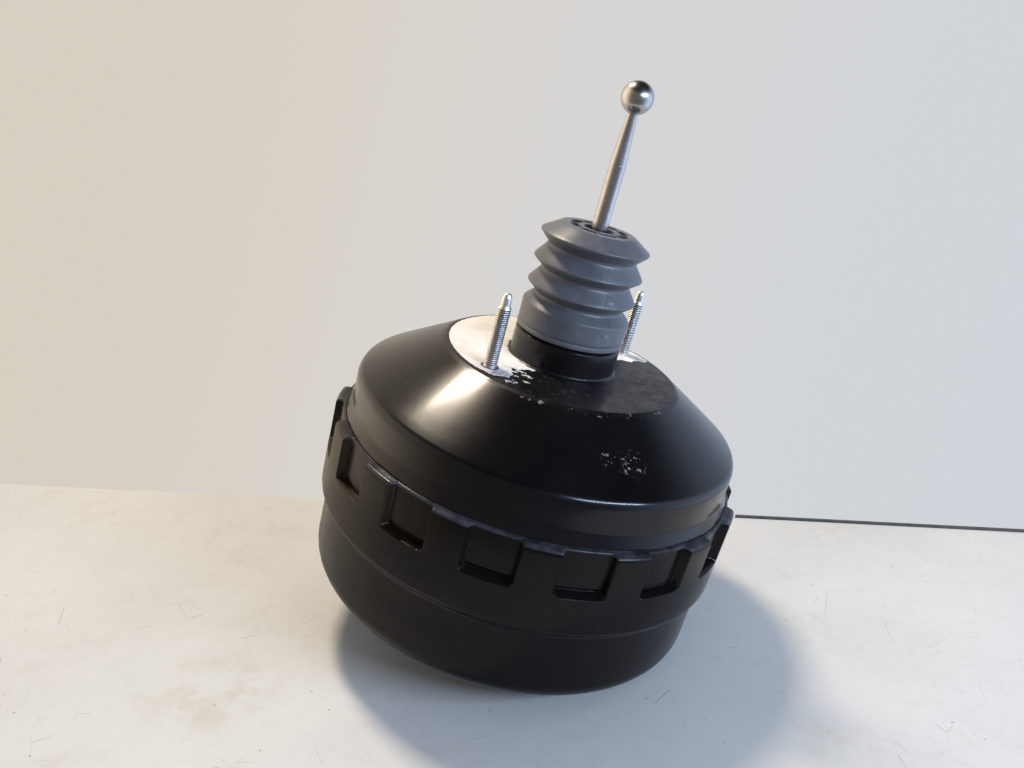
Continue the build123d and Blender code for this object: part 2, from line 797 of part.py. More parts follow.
# The poppet closes the vacuum seat on the valve body and the air seat on the plunger's head.
with BuildPart() as poppet_valve:
    poppet_z = valve_seat_z + poppet_lift
    with BuildSketch(Plane.XZ):
        with BuildLine():
            Polyline(
                (poppet_bore_r, poppet_z),
                (poppet_r, poppet_z),
                (poppet_r, poppet_top - poppet_flange_t),
                (tail_bore_r - seat, poppet_top - poppet_flange_t),
                (tail_bore_r - seat, poppet_top),
                (poppet_r - poppet_wall, poppet_top),
                (poppet_r - poppet_wall, poppet_z + poppet_face_t),
                (poppet_bore_r, poppet_z + poppet_face_t),
                close=True,
            )
        make_face()
    revolve(axis=Axis.Z)

poppet_valve.part.label = "poppet_valve"
export_step(poppet_valve.part, "parts/poppet_valve.step")

with BuildPart() as poppet_retainer:
    with BuildSketch(Plane.XZ):
        cup_r = tail_bore_r - seat
        with BuildLine():
            Polyline(
                (poppet_r - poppet_wall - retainer_lip, poppet_top),
                (cup_r, poppet_top),
                (cup_r, poppet_top + retainer_cup_h),
                (cup_r - retainer_cup_wall, poppet_top + retainer_cup_h),
                (cup_r - retainer_cup_wall, poppet_top + retainer_cup_t),
                (poppet_r - poppet_wall - retainer_lip, poppet_top + retainer_cup_t),
                close=True,
            )
        make_face()
    revolve(axis=Axis.Z)

poppet_retainer.part.label = "poppet_retainer"
export_step(poppet_retainer.part, "parts/poppet_retainer.step")

with BuildPart() as air_filter:
    with BuildSketch(Plane.XY.offset(filter_bottom)):
        Circle(tail_bore_r - seat)
        Circle(filter_bore_r, mode=Mode.SUBTRACT)
    extrude(amount=filter_top - filter_bottom)

air_filter.part.label = "air_filter"
export_step(air_filter.part, "parts/air_filter.step")

with BuildPart() as silencer:
    with BuildSketch(Plane.XY.offset(filter_top + seat)):
        Circle(tail_bore_r - seat)
        Circle(filter_bore_r, mode=Mode.SUBTRACT)
    extrude(amount=silencer_t)

silencer.part.label = "silencer"
export_step(silencer.part, "parts/silencer.step")

# ================================================================ springs
with BuildPart() as main_spring:
    spring_low = boss_z + shell_t + seat + main_spring_wire / 2
    spring_high = front_plate_z - plate_t - seat - main_spring_wire / 2
    with BuildLine(Plane.XY.offset(spring_low)) as main_coil:
        Helix(main_spring_pitch, spring_high - spring_low, main_spring_r)
    with BuildSketch(Plane(origin=main_coil.line @ 0, z_dir=main_coil.line % 0)):
        RegularPolygon(main_spring_wire / 2, main_spring_sides)
    sweep(path=main_coil.line, is_frenet=True)

main_spring.part.label = "main_spring"
export_step(main_spring.part, "parts/main_spring.step")

with BuildPart() as rod_return_spring:
    coil_low = poppet_top + retainer_cup_t + seat + return_spring_wire / 2
    coil_high = spring_seat_z - seat - return_spring_wire / 2
    with BuildLine(Plane.XY.offset(coil_low)) as return_coil:
        Helix(return_spring_pitch, coil_high - coil_low, return_spring_r)
    with BuildSketch(Plane(origin=return_coil.line @ 0, z_dir=return_coil.line % 0)):
        RegularPolygon(return_spring_wire / 2, small_spring_sides)
    sweep(path=return_coil.line, is_frenet=True)

rod_return_spring.part.label = "rod_return_spring"
export_step(rod_return_spring.part, "parts/rod_return_spring.step")

with BuildPart() as poppet_spring:
    turn_low = valve_seat_z + poppet_lift + poppet_face_t + seat + poppet_spring_wire / 2
    turn_high = spring_seat_z - seat - poppet_spring_wire / 2
    with BuildLine(Plane.XY.offset(turn_low)) as poppet_coil:
        Helix(poppet_spring_pitch, turn_high - turn_low, poppet_spring_r)
    with BuildSketch(Plane(origin=poppet_coil.line @ 0, z_dir=poppet_coil.line % 0)):
        RegularPolygon(poppet_spring_wire / 2, small_spring_sides)
    sweep(path=poppet_coil.line, is_frenet=True)

poppet_spring.part.label = "poppet_spring"
export_step(poppet_spring.part, "parts/poppet_spring.step")

# ================================================================ dust boot
with BuildPart() as dust_boot:
    with BuildSketch(Plane.XZ):
        with BuildLine():
            FilletPolyline(
                (cuff_r, cuff_bottom),
                (cuff_r, cuff_top),
                (valley_r, valley_z[0]),
                (crest_r, crest_z[0]),
                (valley_r, valley_z[1]),
                (crest_r, crest_z[1]),
                (valley_r, valley_z[2]),
                (crest_r, crest_z[2]),
                (boot_top_r, boot_top),
                (boot_hole_r, boot_top),
                radius=boot_bends,
            )
            offset(amount=boot_t, side=Side.LEFT, closed=True)
        make_face()
    revolve(axis=Axis.Z)
    with BuildSketch(Plane.XY.offset(boot_top)) as slots:
        with PolarLocations(0, slot_count):
            SlotArc(
                CenterArc((0, 0), (slot_inner_r + slot_outer_r) / 2, -slot_arc / 2, slot_arc, mode=Mode.PRIVATE),
                (slot_outer_r - slot_inner_r) / 2,
            )
    extrude(amount=-boot_t, mode=Mode.SUBTRACT)

dust_boot.part.label = "dust_boot"
export_step(dust_boot.part, "parts/dust_boot.step")

# ================================================================ vacuum port
port_x, port_y = on_circle(port_circle_r, port_angle)
port_axis = Axis((port_x, port_y, 0), (0, 0, 1))
# Section plane of the port: its x points away from the booster's axis and its y is up.
port_plane = Plane(
    origin=(port_x, port_y, 0),
    x_dir=(port_x, port_y, 0),
    z_dir=(port_y, -port_x, 0),
)
grommet_top = face_z + shell_t + seat + grommet_barb
case_bottom = face_z - valve_case_drop
chamber_top = face_z - check_wall
chamber_bottom = chamber_top - check_chamber_h

with BuildPart() as vacuum_grommet:
    with BuildSketch(port_plane):
        with BuildLine():
            Polyline(
                (valve_case_r + running, face_z - seat - grommet_lip),
                (grommet_r, face_z - seat - grommet_lip),
                (grommet_r, face_z - seat),
                (port_hole_r - running, face_z - seat),
                (port_hole_r - running, face_z + shell_t + seat),
                (grommet_r - seat, face_z + shell_t + seat),
                (port_hole_r - seat, grommet_top),
                (valve_case_r + running, grommet_top),
                close=True,
            )
        make_face()
    revolve(axis=port_axis)

vacuum_grommet.part.label = "vacuum_grommet"
export_step(vacuum_grommet.part, "parts/vacuum_grommet.step")

with BuildPart() as check_valve:
    with BuildSketch(port_plane):
        with BuildLine():
            Polyline(
                (0, case_bottom),
                (valve_case_r + valve_case_rim, case_bottom),
                (valve_case_r + valve_case_rim, face_z - 2 * seat - grommet_lip),
                (valve_case_r, face_z - 2 * seat - grommet_lip),
                (valve_case_r, grommet_top + seat),
                (valve_case_r + valve_case_barb, grommet_top + seat),
                (valve_case_r - valve_case_barb, grommet_top + seat + valve_case_tip),
                (0, grommet_top + seat + valve_case_tip),
                close=True,
            )
        make_face()
    revolve(axis=port_axis)
    with BuildLine(port_plane) as elbow:
        FilletPolyline(
            (0, case_bottom + elbow_root),
            (0, case_bottom - elbow_r),
            (elbow_bend_r + nipple_length, case_bottom - elbow_r),
            radius=elbow_bend_r,
        )
    with BuildSketch(Plane(origin=elbow.line @ 0, z_dir=elbow.line % 0)):
        Circle(nipple_r)
    sweep(path=elbow.line)
    with BuildSketch(Plane(origin=elbow.line @ 1, z_dir=elbow.line % 1)):
        Circle(nipple_r)
    extrude(amount=nipple_lead, taper=nipple_taper)
    with BuildSketch(Plane(origin=elbow.line @ 0, z_dir=elbow.line % 0)):
        Circle(nipple_bore_r)
    sweep(path=elbow.line, mode=Mode.SUBTRACT)
    with BuildSketch(Plane(origin=elbow.line @ 1, z_dir=elbow.line % 1)):
        Circle(nipple_bore_r)
    extrude(amount=nipple_lead, mode=Mode.SUBTRACT)
    with BuildSketch(Plane.XY.offset(case_bottom)):
        with Locations((port_x, port_y)):
            Circle(nipple_bore_r)
    extrude(amount=grommet_top + seat + valve_case_tip - case_bottom, mode=Mode.SUBTRACT)
    with BuildSketch(Plane.XY.offset(chamber_bottom)):
        with Locations((port_x, port_y)):
            Circle(check_chamber_r)
    extrude(amount=check_chamber_h, mode=Mode.SUBTRACT)

check_valve.part.label = "check_valve"
export_step(check_valve.part, "parts/check_valve.step")

with BuildPart() as check_disc:
    with BuildSketch(Plane.XY.offset(chamber_top - seat)):
        with Locations((port_x, port_y)):
            Circle(check_disc_r)
    extrude(amount=-check_disc_t)

check_disc.part.label = "check_disc"
export_step(check_disc.part, "parts/check_disc.step")

with BuildPart() as check_spring:
    check_low = chamber_bottom + seat + check_wire / 2
    check_high = chamber_top - 2 * seat - check_disc_t - check_wire / 2
    with BuildLine(Plane((port_x, port_y, check_low))) as check_coil:
        Helix((check_high - check_low) / check_turns, check_high - check_low, check_spring_r)
    with BuildSketch(Plane(origin=check_coil.line @ 0, z_dir=check_coil.line % 0)):
        RegularPolygon(check_wire / 2, check_wire_sides)
    sweep(path=check_coil.line, is_frenet=True)

check_spring.part.label = "check_spring"
export_step(check_spring.part, "parts/check_spring.step")

# ================================================================ paper gasket on the mounting flat
with BuildPart() as paper_gasket:
    with BuildSketch(Plane.XY.offset(flat_z)):
        Circle(flat_r - paper_margin)
        Circle(neck_r + paper_neck_gap, mode=Mode.SUBTRACT)
        with PolarLocations(rear_stud_offset, 2, start_angle=rear_stud_angle):
            Circle(paper_stud_r, mode=Mode.SUBTRACT)
    extrude(amount=paper_t)

paper_gasket.part.label = "paper_gasket"
export_step(paper_gasket.part, "parts/paper_gasket.step")
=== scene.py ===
"""Brake booster: the visual model, laid out as an add-on with one operator for each piece."""
import json
import math
from functools import cache

import bpy
import numpy as np
from bpy.props import FloatProperty, FloatVectorProperty, IntProperty, PointerProperty
from mathutils import Matrix, Vector, noise


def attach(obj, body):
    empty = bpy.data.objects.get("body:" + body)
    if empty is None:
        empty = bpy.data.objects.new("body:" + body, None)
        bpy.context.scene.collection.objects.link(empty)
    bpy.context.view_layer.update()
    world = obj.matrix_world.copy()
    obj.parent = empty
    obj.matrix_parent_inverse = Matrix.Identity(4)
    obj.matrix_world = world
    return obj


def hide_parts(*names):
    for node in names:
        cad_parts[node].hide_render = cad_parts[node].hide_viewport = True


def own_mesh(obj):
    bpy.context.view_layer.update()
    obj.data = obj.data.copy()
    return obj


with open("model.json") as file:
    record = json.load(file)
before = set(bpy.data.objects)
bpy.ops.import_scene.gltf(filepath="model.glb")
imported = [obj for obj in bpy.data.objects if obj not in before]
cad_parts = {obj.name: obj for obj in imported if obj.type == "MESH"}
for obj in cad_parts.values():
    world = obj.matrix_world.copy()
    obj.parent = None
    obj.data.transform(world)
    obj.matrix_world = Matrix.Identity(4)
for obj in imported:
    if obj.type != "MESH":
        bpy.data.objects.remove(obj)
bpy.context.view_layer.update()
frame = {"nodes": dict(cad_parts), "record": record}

bl_info = {
    "name": "Brake Booster",
    "version": (1, 0, 0),
    "blender": (4, 5, 0),
    "location": "View3D > Sidebar > Booster",
    "description": "Builds a tandem brake booster's visual pieces round its packed solids",
    "category": "Object",
}

MM = 0.001
PAPER_T = 0.25  # the mounting flat lies this far under the origin, where the paper's face is
SHELL_T = 1.6
SHARP = math.radians(38)
POCKET_R = 132.0  # radius at which the pockets' widths are measured
CUFF_TOP = 33.4  # the boot's bellows starts here

REAR_STUD_R, REAR_STUD_ANGLE, FRONT_STUD_Y = 63.0, math.radians(51.5), 40.0
REAR_STUDS = [
    (way * REAR_STUD_R * math.cos(REAR_STUD_ANGLE), way * REAR_STUD_R * math.sin(REAR_STUD_ANGLE))
    for way in (1, -1)
]
FRONT_STUDS = [(0.0, FRONT_STUD_Y), (0.0, -FRONT_STUD_Y)]
NEAR_STUD = (*REAR_STUDS[1], 0.0)


# ---------------------------------------------------------------- profiles
def rounded(points, radii, turn=6.0):
    """Polyline in millimetres with its inner corners rounded, by arcs with a point every few degrees."""
    out = [points[0]]
    for before, corner, after, radius in zip(points, points[1:], points[2:], radii):
        b, c, a = (np.array(p, float) for p in (before, corner, after))
        u, v = (b - c) / np.linalg.norm(b - c), (a - c) / np.linalg.norm(a - c)
        half = math.acos(float(np.clip(u @ v, -1, 1))) / 2
        reach = radius / math.tan(half)
        centre = c + (u + v) / np.linalg.norm(u + v) * radius / math.sin(half)
        start, end = c + u * reach - centre, c + v * reach - centre
        sweep = math.atan2(start[0] * end[1] - start[1] * end[0], start @ end)
        steps = max(3, int(abs(math.degrees(sweep)) / turn))
        for k in range(steps + 1):
            x, y = math.cos(sweep * k / steps), math.sin(sweep * k / steps)
            out.append((centre[0] + start[0] * x - start[1] * y, centre[1] + start[0] * y + start[1] * x))
    out.append(points[-1])
    return out


def divided(path, step):
    """The same path with points at most a step apart."""
    out = [path[0]]
    for p, q in zip(path, path[1:]):
        n = max(1, math.ceil(math.dist(p, q) / step))
        out += [(p[0] + (q[0] - p[0]) * k / n, p[1] + (q[1] - p[1]) * k / n) for k in range(1, n + 1)]
    return out


def sheet(path, thickness):
    """Closed section of a sheet whose outside is the path and whose metal lies to the right of it."""
    p = np.array(path, float)
    d = np.gradient(p, axis=0)
    d /= np.linalg.norm(d, axis=1)[:, None]
    inner = p + np.column_stack((d[:, 1], -d[:, 0])) * thickness
    return list(map(tuple, p)) + list(map(tuple, inner[::-1]))


def spread(path, count):
    """A number of points evenly spaced along a path."""
    p = np.array(path, float)
    s = np.concatenate(([0], np.cumsum(np.linalg.norm(np.diff(p, axis=0), axis=1))))
    at = np.linspace(0, s[-1], count)
    return np.column_stack((np.interp(at, s, p[:, 0]), np.interp(at, s, p[:, 1])))


# ---------------------------------------------------------------- meshes
def make_object(name, verts, faces, material, sharp=SHARP):
    """Mesh object from points in millimetres, shaded smooth with its sharp edges kept."""
    mesh = bpy.data.meshes.new(name)
    mesh.from_pydata([Vector(v) * MM for v in verts], [], faces)
    mesh.validate()
    mesh.update()
    mesh.polygons.foreach_set("use_smooth", [True] * len(mesh.polygons))
    mesh.set_sharp_from_angle(angle=sharp)
    mesh.materials.append(material)
    obj = bpy.data.objects.new(name, mesh)
    bpy.context.collection.objects.link(obj)
    return obj


def turned(section, count, closed=True, centre=(0.0, 0.0)):
    """Vertices and faces of a section turned about the Z axis; points on the axis become one vertex."""
    verts, rows = [], []
    for r, z in section:
        if r < 1e-4:
            rows.append([len(verts)] * count)
            verts.append((centre[0], centre[1], z))
        else:
            rows.append(list(range(len(verts), len(verts) + count)))
            for k in range(count):
                a = 2 * math.pi * k / count
                verts.append((centre[0] + r * math.cos(a), centre[1] + r * math.sin(a), z))
    faces = []
    pairs = list(zip(rows, rows[1:] + rows[:1])) if closed else list(zip(rows, rows[1:]))
    for a, b in pairs:
        for k in range(count):
            n = (k + 1) % count
            loop = [a[k], b[k], b[n], a[n]]
            loop = [v for i, v in enumerate(loop) if v != loop[i - 1]]
            if len(loop) > 2:
                faces.append(loop)
    return verts, faces


def grid_faces(rows, columns, around=True, start=0):
    """Quads of a grid of vertices, joined round its columns or left open."""
    faces = []
    for i in range(rows - 1):
        for j in range(columns if around else columns - 1):
            n = (j + 1) % columns
            a, b = start + i * columns, start + (i + 1) * columns
            faces.append((a + j, b + j, b + n, a + n))
    return faces


def cut(obj, cutter):
    """Takes the cutter's volume out of the object, and removes the cutter."""
    modifier = obj.modifiers.new("cut", "BOOLEAN")
    modifier.object = cutter
    modifier.operation = "DIFFERENCE"
    modifier.solver = "EXACT"
    graph = bpy.context.evaluated_depsgraph_get()
    mesh = bpy.data.meshes.new_from_object(obj.evaluated_get(graph))
    if len(mesh.polygons) < len(obj.data.polygons) / 2:
        raise RuntimeError(f"the cut emptied {obj.name}")
    obj.modifiers.clear()
    obj.data = mesh
    mesh.polygons.foreach_set("use_smooth", [True] * len(mesh.polygons))
    mesh.set_sharp_from_angle(angle=SHARP)
    bpy.data.objects.remove(cutter)


def ease(x, low, high):
    """Smooth step from 0 at low to 1 at high."""
    t = min(1.0, max(0.0, (x - low) / (high - low)))
    return t * t * (3 - 2 * t)


def place(obj, body, slot, *nodes):
    """The piece rides on its body and stands for its CAD nodes; the slot is not used."""
    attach(obj, body)
    if nodes:
        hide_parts(*nodes)
    return obj


# ---------------------------------------------------------------- materials
class Nodes:
    """Short calls for the usual nodes of a tree."""

    def __init__(self, tree):
        self.tree = tree
        tree.nodes.clear()

    def node(self, kind, inputs, **settings):
        """Node with its settings; each input takes a value or another node's output."""
        n = self.tree.nodes.new(kind)
        for name, value in settings.items():
            setattr(n, name, value)
        for name, value in inputs.items():
            self.give(n.inputs[name], value)
        return n

    def give(self, socket, value):
        if isinstance(value, bpy.types.NodeSocket):
            self.tree.links.new(value, socket)
        elif socket.type == "RGBA" and len(value) == 3:
            socket.default_value = (*value, 1.0)
        else:
            socket.default_value = value

    def noise(self, scale, detail=4.0, rough=0.55, vector=None, warp=0.0):
        inputs = {"Vector": vector or self.coords, "Scale": scale, "Detail": detail}
        inputs.update({"Roughness": rough, "Distortion": warp})
        return self.node("ShaderNodeTexNoise", inputs).outputs["Fac"]

    def band(self, value, low, high, at_low=0.0, at_high=1.0):
        """Smooth step of a value between low and high."""
        inputs = {"Value": value, "From Min": low, "From Max": high, "To Min": at_low, "To Max": at_high}
        return self.node("ShaderNodeMapRange", inputs, interpolation_type="SMOOTHSTEP").outputs["Result"]

    def math(self, kind, a, b=0.5):
        return self.node("ShaderNodeMath", {0: a, 1: b}, operation=kind).outputs[0]

    def product(self, *factors):
        out = factors[0]
        for factor in factors[1:]:
            out = self.math("MULTIPLY", out, factor)
        return out

    def mix(self, factor, a, b, blend="MIX"):
        inputs = {0: factor, 6: a, 7: b}
        return self.node("ShaderNodeMix", inputs, data_type="RGBA", blend_type=blend).outputs[2]

    def ramp(self, value, first, last, between):
        """Colour ramp with its two ends and the tones between them."""
        n = self.node("ShaderNodeValToRGB", {"Fac": value})
        n.color_ramp.elements[0].color = (*first, 1.0)
        n.color_ramp.elements[1].color = (*last, 1.0)
        for at, tone in between:
            n.color_ramp.elements.new(at).color = (*tone, 1.0)
        return n.outputs["Color"]


class Finish(Nodes):
    """A material of one principled shader, in the object's own coordinates."""

    def __init__(self, name):
        self.material = bpy.data.materials.new(f"{name}_finish")
        self.material.use_nodes = True
        super().__init__(self.material.node_tree)
        self.tones = bpy.context.scene.booster_finish
        self.shader = self.tree.nodes.new("ShaderNodeBsdfPrincipled")
        self.node("ShaderNodeOutputMaterial", {"Surface": self.shader.outputs["BSDF"]})
        self.coords = self.tree.nodes.new("ShaderNodeTexCoord").outputs["Object"]

    def set(self, **values):
        for name, value in values.items():
            self.give(self.shader.inputs[name.replace("_", " ")], value)

    def stretch(self, scale):
        return self.node("ShaderNodeMapping", {"Vector": self.coords, "Scale": scale}).outputs[0]

    def cells(self, scale, vector=None, feature="F1"):
        inputs = {"Vector": vector or self.coords, "Scale": scale}
        return self.node("ShaderNodeTexVoronoi", inputs, feature=feature).outputs["Distance"]

    def distance(self, place_mm, of=None):
        inputs = {0: of or self.coords, 1: [v * MM for v in place_mm]}
        return self.node("ShaderNodeVectorMath", inputs, operation="DISTANCE").outputs["Value"]

    def near(self, place_mm, inner_mm, outer_mm):
        """1 within the inner distance of a place, falling to 0 at the outer one."""
        return self.band(self.distance(place_mm), outer_mm * MM, inner_mm * MM)

    def axis(self, name):
        return self.node("ShaderNodeSeparateXYZ", {"Vector": self.coords}).outputs[name]

    def bump(self, height, strength, distance_mm, normal=None):
        inputs = {"Height": height, "Strength": strength, "Distance": distance_mm * MM}
        if normal:
            inputs["Normal"] = normal
        return self.node("ShaderNodeBump", inputs).outputs["Normal"]


@cache
def black_paint(name="black_paint", gloss=0.18, coat=0.25):
    """Black shell paint with dust, wear, scuffs and chips, a painted highlight on the ledge and painted warm
    light on the drum's -X side; the two shells differ in gloss.
    """
    f = Finish(name)
    height = f.axis("Z")
    cloud = f.noise(14, 6, 0.6)
    edge = f.noise(130, 7, 0.7, warp=0.6)
    on_flat = f.product(f.band(height, -0.0022, -0.0012), f.band(height, 0.0014, 0.0006))
    on_drum = f.band(height, -0.040, -0.066)

    # dust and dried streaks, most of them on the drum's -X side; the dust is real dust, and its weight on the
    # -X side is also painted warm light
    painted_warm_side = f.band(f.band(f.axis("X"), 0.01, -0.11), 0.0, 1.0, 0.06, 0.9)
    dust = f.product(f.band(f.noise(24, 10, 0.72), 0.24, 0.68), on_drum, painted_warm_side)
    streaks = f.band(f.noise(60, 4, 0.6, f.stretch((3.0, 3.0, 26.0))), 0.62, 0.74)
    specks = f.product(f.band(f.cells(85), 0.06, 0.03), f.band(f.noise(30, 2), 0.5, 0.58))
    scratch = f.band(f.cells(46, f.stretch((1.0, 5.0, 1.6)), "DISTANCE_TO_EDGE"), 0.006, 0.0)
    scratch = f.product(scratch, f.band(f.noise(24, 2), 0.56, 0.64))

    # paint that flaked off the mounting flat, with the rim of the patch
    flaked = (60, -14, 0)
    bare = f.product(f.near(flaked, 10, 34), f.band(edge, 0.45, 0.50), on_flat)
    rim = f.band(f.math("ABSOLUTE", f.math("SUBTRACT", edge, 0.47)), 0.012, 0.003)
    rim = f.product(rim, f.near(flaked, 14, 38), on_flat)

    # chips on the flat's edge, scuffs on the cone, and a painted highlight along the ledge over the pockets
    corner = f.band(f.math("ABSOLUTE", f.math("ADD", height, 0.0014)), 0.0013, 0.0005)
    chips = f.product(corner, f.band(f.noise(210, 6, 0.7), 0.585, 0.63), f.near((24, -64, 0), 34, 58))
    scuff = f.math("MAXIMUM", f.near((40, -93, -15), 1, 7), f.near((53, -88, -17), 2, 11))
    scuff = f.product(scuff, f.band(f.noise(420, 5, 0.7), 0.57, 0.62))
    # painted highlight: a pale bluish line on the ledge's crest, lighter than the paint
    painted_crest_highlight = f.product(f.band(height, -0.0594, -0.0584), f.band(height, -0.0568, -0.0573))
    painted_crest_highlight = f.product(painted_crest_highlight, f.band(f.noise(90, 5, 0.6), 0.38, 0.60, 0.25, 0.8))

    colour = f.mix(f.band(cloud, 0.3, 0.7), (0.0036, 0.0030, 0.0038), f.tones.paint)
    for mask, share, tone in (
        (dust, 0.75, f.tones.dust),
        (painted_crest_highlight, 1.0, (0.052, 0.052, 0.064)),
        (f.product(streaks, on_drum), 0.10, (0.09, 0.075, 0.055)),
        (scratch, 0.14, (0.13, 0.12, 0.11)),
        (bare, 0.7, (0.040, 0.035, 0.035)),
        (rim, 0.7, (0.15, 0.145, 0.145)),
        (chips, 0.8, (0.30, 0.29, 0.29)),
        (scuff, 0.8, (0.40, 0.40, 0.42)),
        (specks, 0.5, (0.20, 0.17, 0.13)),
    ):
        colour = f.mix(f.product(mask, share), colour, tone)
    rough = f.math("ADD", f.band(cloud, 0.25, 0.75, 0.20, 0.28), f.product(dust, 0.26))
    rough = f.math("ADD", rough, f.product(bare, 0.25))
    rough = f.math("ADD", rough, f.product(on_flat, f.band(f.noise(70, 7, 0.7), 0.35, 0.65, 0.06, 0.24)))

    peel = f.bump(f.noise(260, 2, 0.4), 0.08, 0.08)
    draw = f.bump(f.noise(9, 3, 0.5), 0.25, 1.2, peel)
    worn = f.math("SUBTRACT", f.noise(420, 3, 0.5), f.product(f.math("ADD", bare, chips), 2.0))
    f.set(Base_Color=colour, Roughness=rough, Normal=f.bump(worn, 0.12, 0.12, draw))
    f.set(Specular_IOR_Level=gloss, Coat_Weight=coat, Coat_Roughness=0.13)
    return f.material


@cache
def grey_rubber():
    """Boot rubber with a pale bloom and two smears from handling."""
    f = Finish("grey_rubber")
    cloud = f.noise(35, 6, 0.6)
    bloom = f.band(f.noise(90, 8, 0.7), 0.48, 0.72)
    colour = f.mix(f.band(cloud, 0.3, 0.7), (0.072, 0.076, 0.090), f.tones.boot)
    colour = f.mix(f.product(bloom, 0.30), colour, (0.18, 0.18, 0.19))
    smears = f.math("MAXIMUM", f.near((19, -28, 52), 2, 9), f.near((21, -27, 28), 1, 7))
    smear = f.product(smears, f.band(f.noise(480, 5, 0.65), 0.52, 0.64))
    colour = f.mix(f.product(smear, 0.5), colour, (0.42, 0.46, 0.54))
    rough = f.math("ADD", f.band(cloud, 0.25, 0.75, 0.30, 0.40), f.product(bloom, 0.08))
    skin = f.bump(f.noise(700, 4, 0.6), 0.16, 0.06)
    f.set(Base_Color=colour, Roughness=rough, Normal=f.bump(f.noise(60, 3), 0.15, 0.4, skin))
    f.set(Specular_IOR_Level=0.55, Sheen_Weight=0.05, Sheen_Roughness=0.4)
    return f.material


# two tones, range of roughness, stretch and scale of the grain, its bump, share of the stains
METALS = {
    "zinc_steel": ((0.45, 0.43, 0.41), (0.60, 0.58, 0.56), (0.22, 0.36), (1, 1, 1), 900, 0.25, 0.5),
    "bright_steel": ((0.42, 0.40, 0.38), (0.53, 0.51, 0.49), (0.19, 0.29), (1, 1, 60), 60, 0.12, 0.10),
    "bare_steel": ((0.22, 0.22, 0.21), (0.36, 0.36, 0.34), (0.40, 0.60), (1, 1, 6), 240, 0.25, 0.15),
    "spring_steel": ((0.14, 0.14, 0.15), (0.26, 0.26, 0.27), (0.30, 0.45), (1, 1, 3), 500, 0.2, 0.15),
    "aluminium_alloy": ((0.62, 0.62, 0.63), (0.74, 0.74, 0.75), (0.24, 0.36), (1, 1, 50), 80, 0.15, 0.15),
}


@cache
def metal(name):
    """Bare metal, whose grain is a noise stretched by a vector."""
    low, high, rough, stretch, scale, strength, stain = METALS[name]
    f = Finish(name)
    lines = f.noise(scale, 5, 0.65, f.stretch(stretch))
    spots = f.band(f.noise(210, 5, 0.7), 0.6, 0.72)
    colour = f.mix(f.band(f.noise(45, 6, 0.65), 0.3, 0.7), low, high)
    colour = f.mix(f.product(spots, stain), colour, tuple(v * 0.35 for v in low))
    rough = f.math("ADD", f.band(lines, 0.25, 0.75, *rough), f.product(spots, 0.12))
    f.set(Base_Color=colour, Roughness=rough, Metallic=1.0, Normal=f.bump(lines, strength, 0.05))
    return f.material


@cache
def stud_zinc():
    """Zinc plate, darkened in the grooves of the threads as painted shade."""
    f = Finish("stud_zinc")
    flat = f.node("ShaderNodeVectorMath", {0: f.coords, 1: (1.0, 1.0, 0.0)}, operation="MULTIPLY")
    gap = 1.0
    for x, y in REAR_STUDS + FRONT_STUDS:
        gap = f.math("MINIMUM", f.distance((x, y, 0.0), flat.outputs[0]), gap)
    grain = f.noise(900, 4, 0.6)
    colour = f.mix(f.band(f.noise(120, 6, 0.65), 0.3, 0.7), (0.66, 0.65, 0.64), (0.82, 0.81, 0.80))
    # painted shade in the threads' grooves
    painted_groove_shade = f.product(f.band(gap, 3.85 * MM, 3.45 * MM), f.band(f.axis("Z"), 0.0362, 0.0358))
    colour = f.mix(f.product(painted_groove_shade, 0.75), colour, (0.10, 0.092, 0.088))
    rough = f.math("ADD", f.band(grain, 0.3, 0.7, 0.30, 0.44), f.product(painted_groove_shade, 0.2))
    f.set(Base_Color=colour, Roughness=rough, Metallic=1.0, Normal=f.bump(grain, 0.12, 0.04))
    return f.material


# two tones, range of roughness, scale of the grain, its bump and depth, share of the dirt
DULL = {
    "black_rubber": ((0.012, 0.012, 0.013), (0.028, 0.028, 0.030), (0.45, 0.65), 800, 0.25, 0.08, 0.12),
    "valve_plastic": ((0.016, 0.016, 0.018), (0.030, 0.030, 0.033), (0.32, 0.5), 1100, 0.15, 0.04, 0.08),
    "filter_felt": ((0.10, 0.095, 0.085), (0.24, 0.23, 0.21), (0.85, 1.0), 1500, 0.9, 0.5, 0.3),
}


@cache
def dull(name):
    """Rubber, moulded plastic or felt, with some dirt."""
    low, high, rough, scale, strength, distance_mm, dusty = DULL[name]
    f = Finish(name)
    grain = f.noise(scale, 5, 0.7)
    dirt = f.band(f.noise(75, 8, 0.75), 0.5, 0.75)
    colour = f.mix(f.band(f.noise(40, 6, 0.6), 0.3, 0.7), low, high)
    colour = f.mix(f.product(dirt, dusty), colour, (0.20, 0.18, 0.15))
    f.set(Base_Color=colour, Roughness=f.band(grain, 0.25, 0.75, *rough))
    f.set(Normal=f.bump(grain, strength, distance_mm))
    return f.material


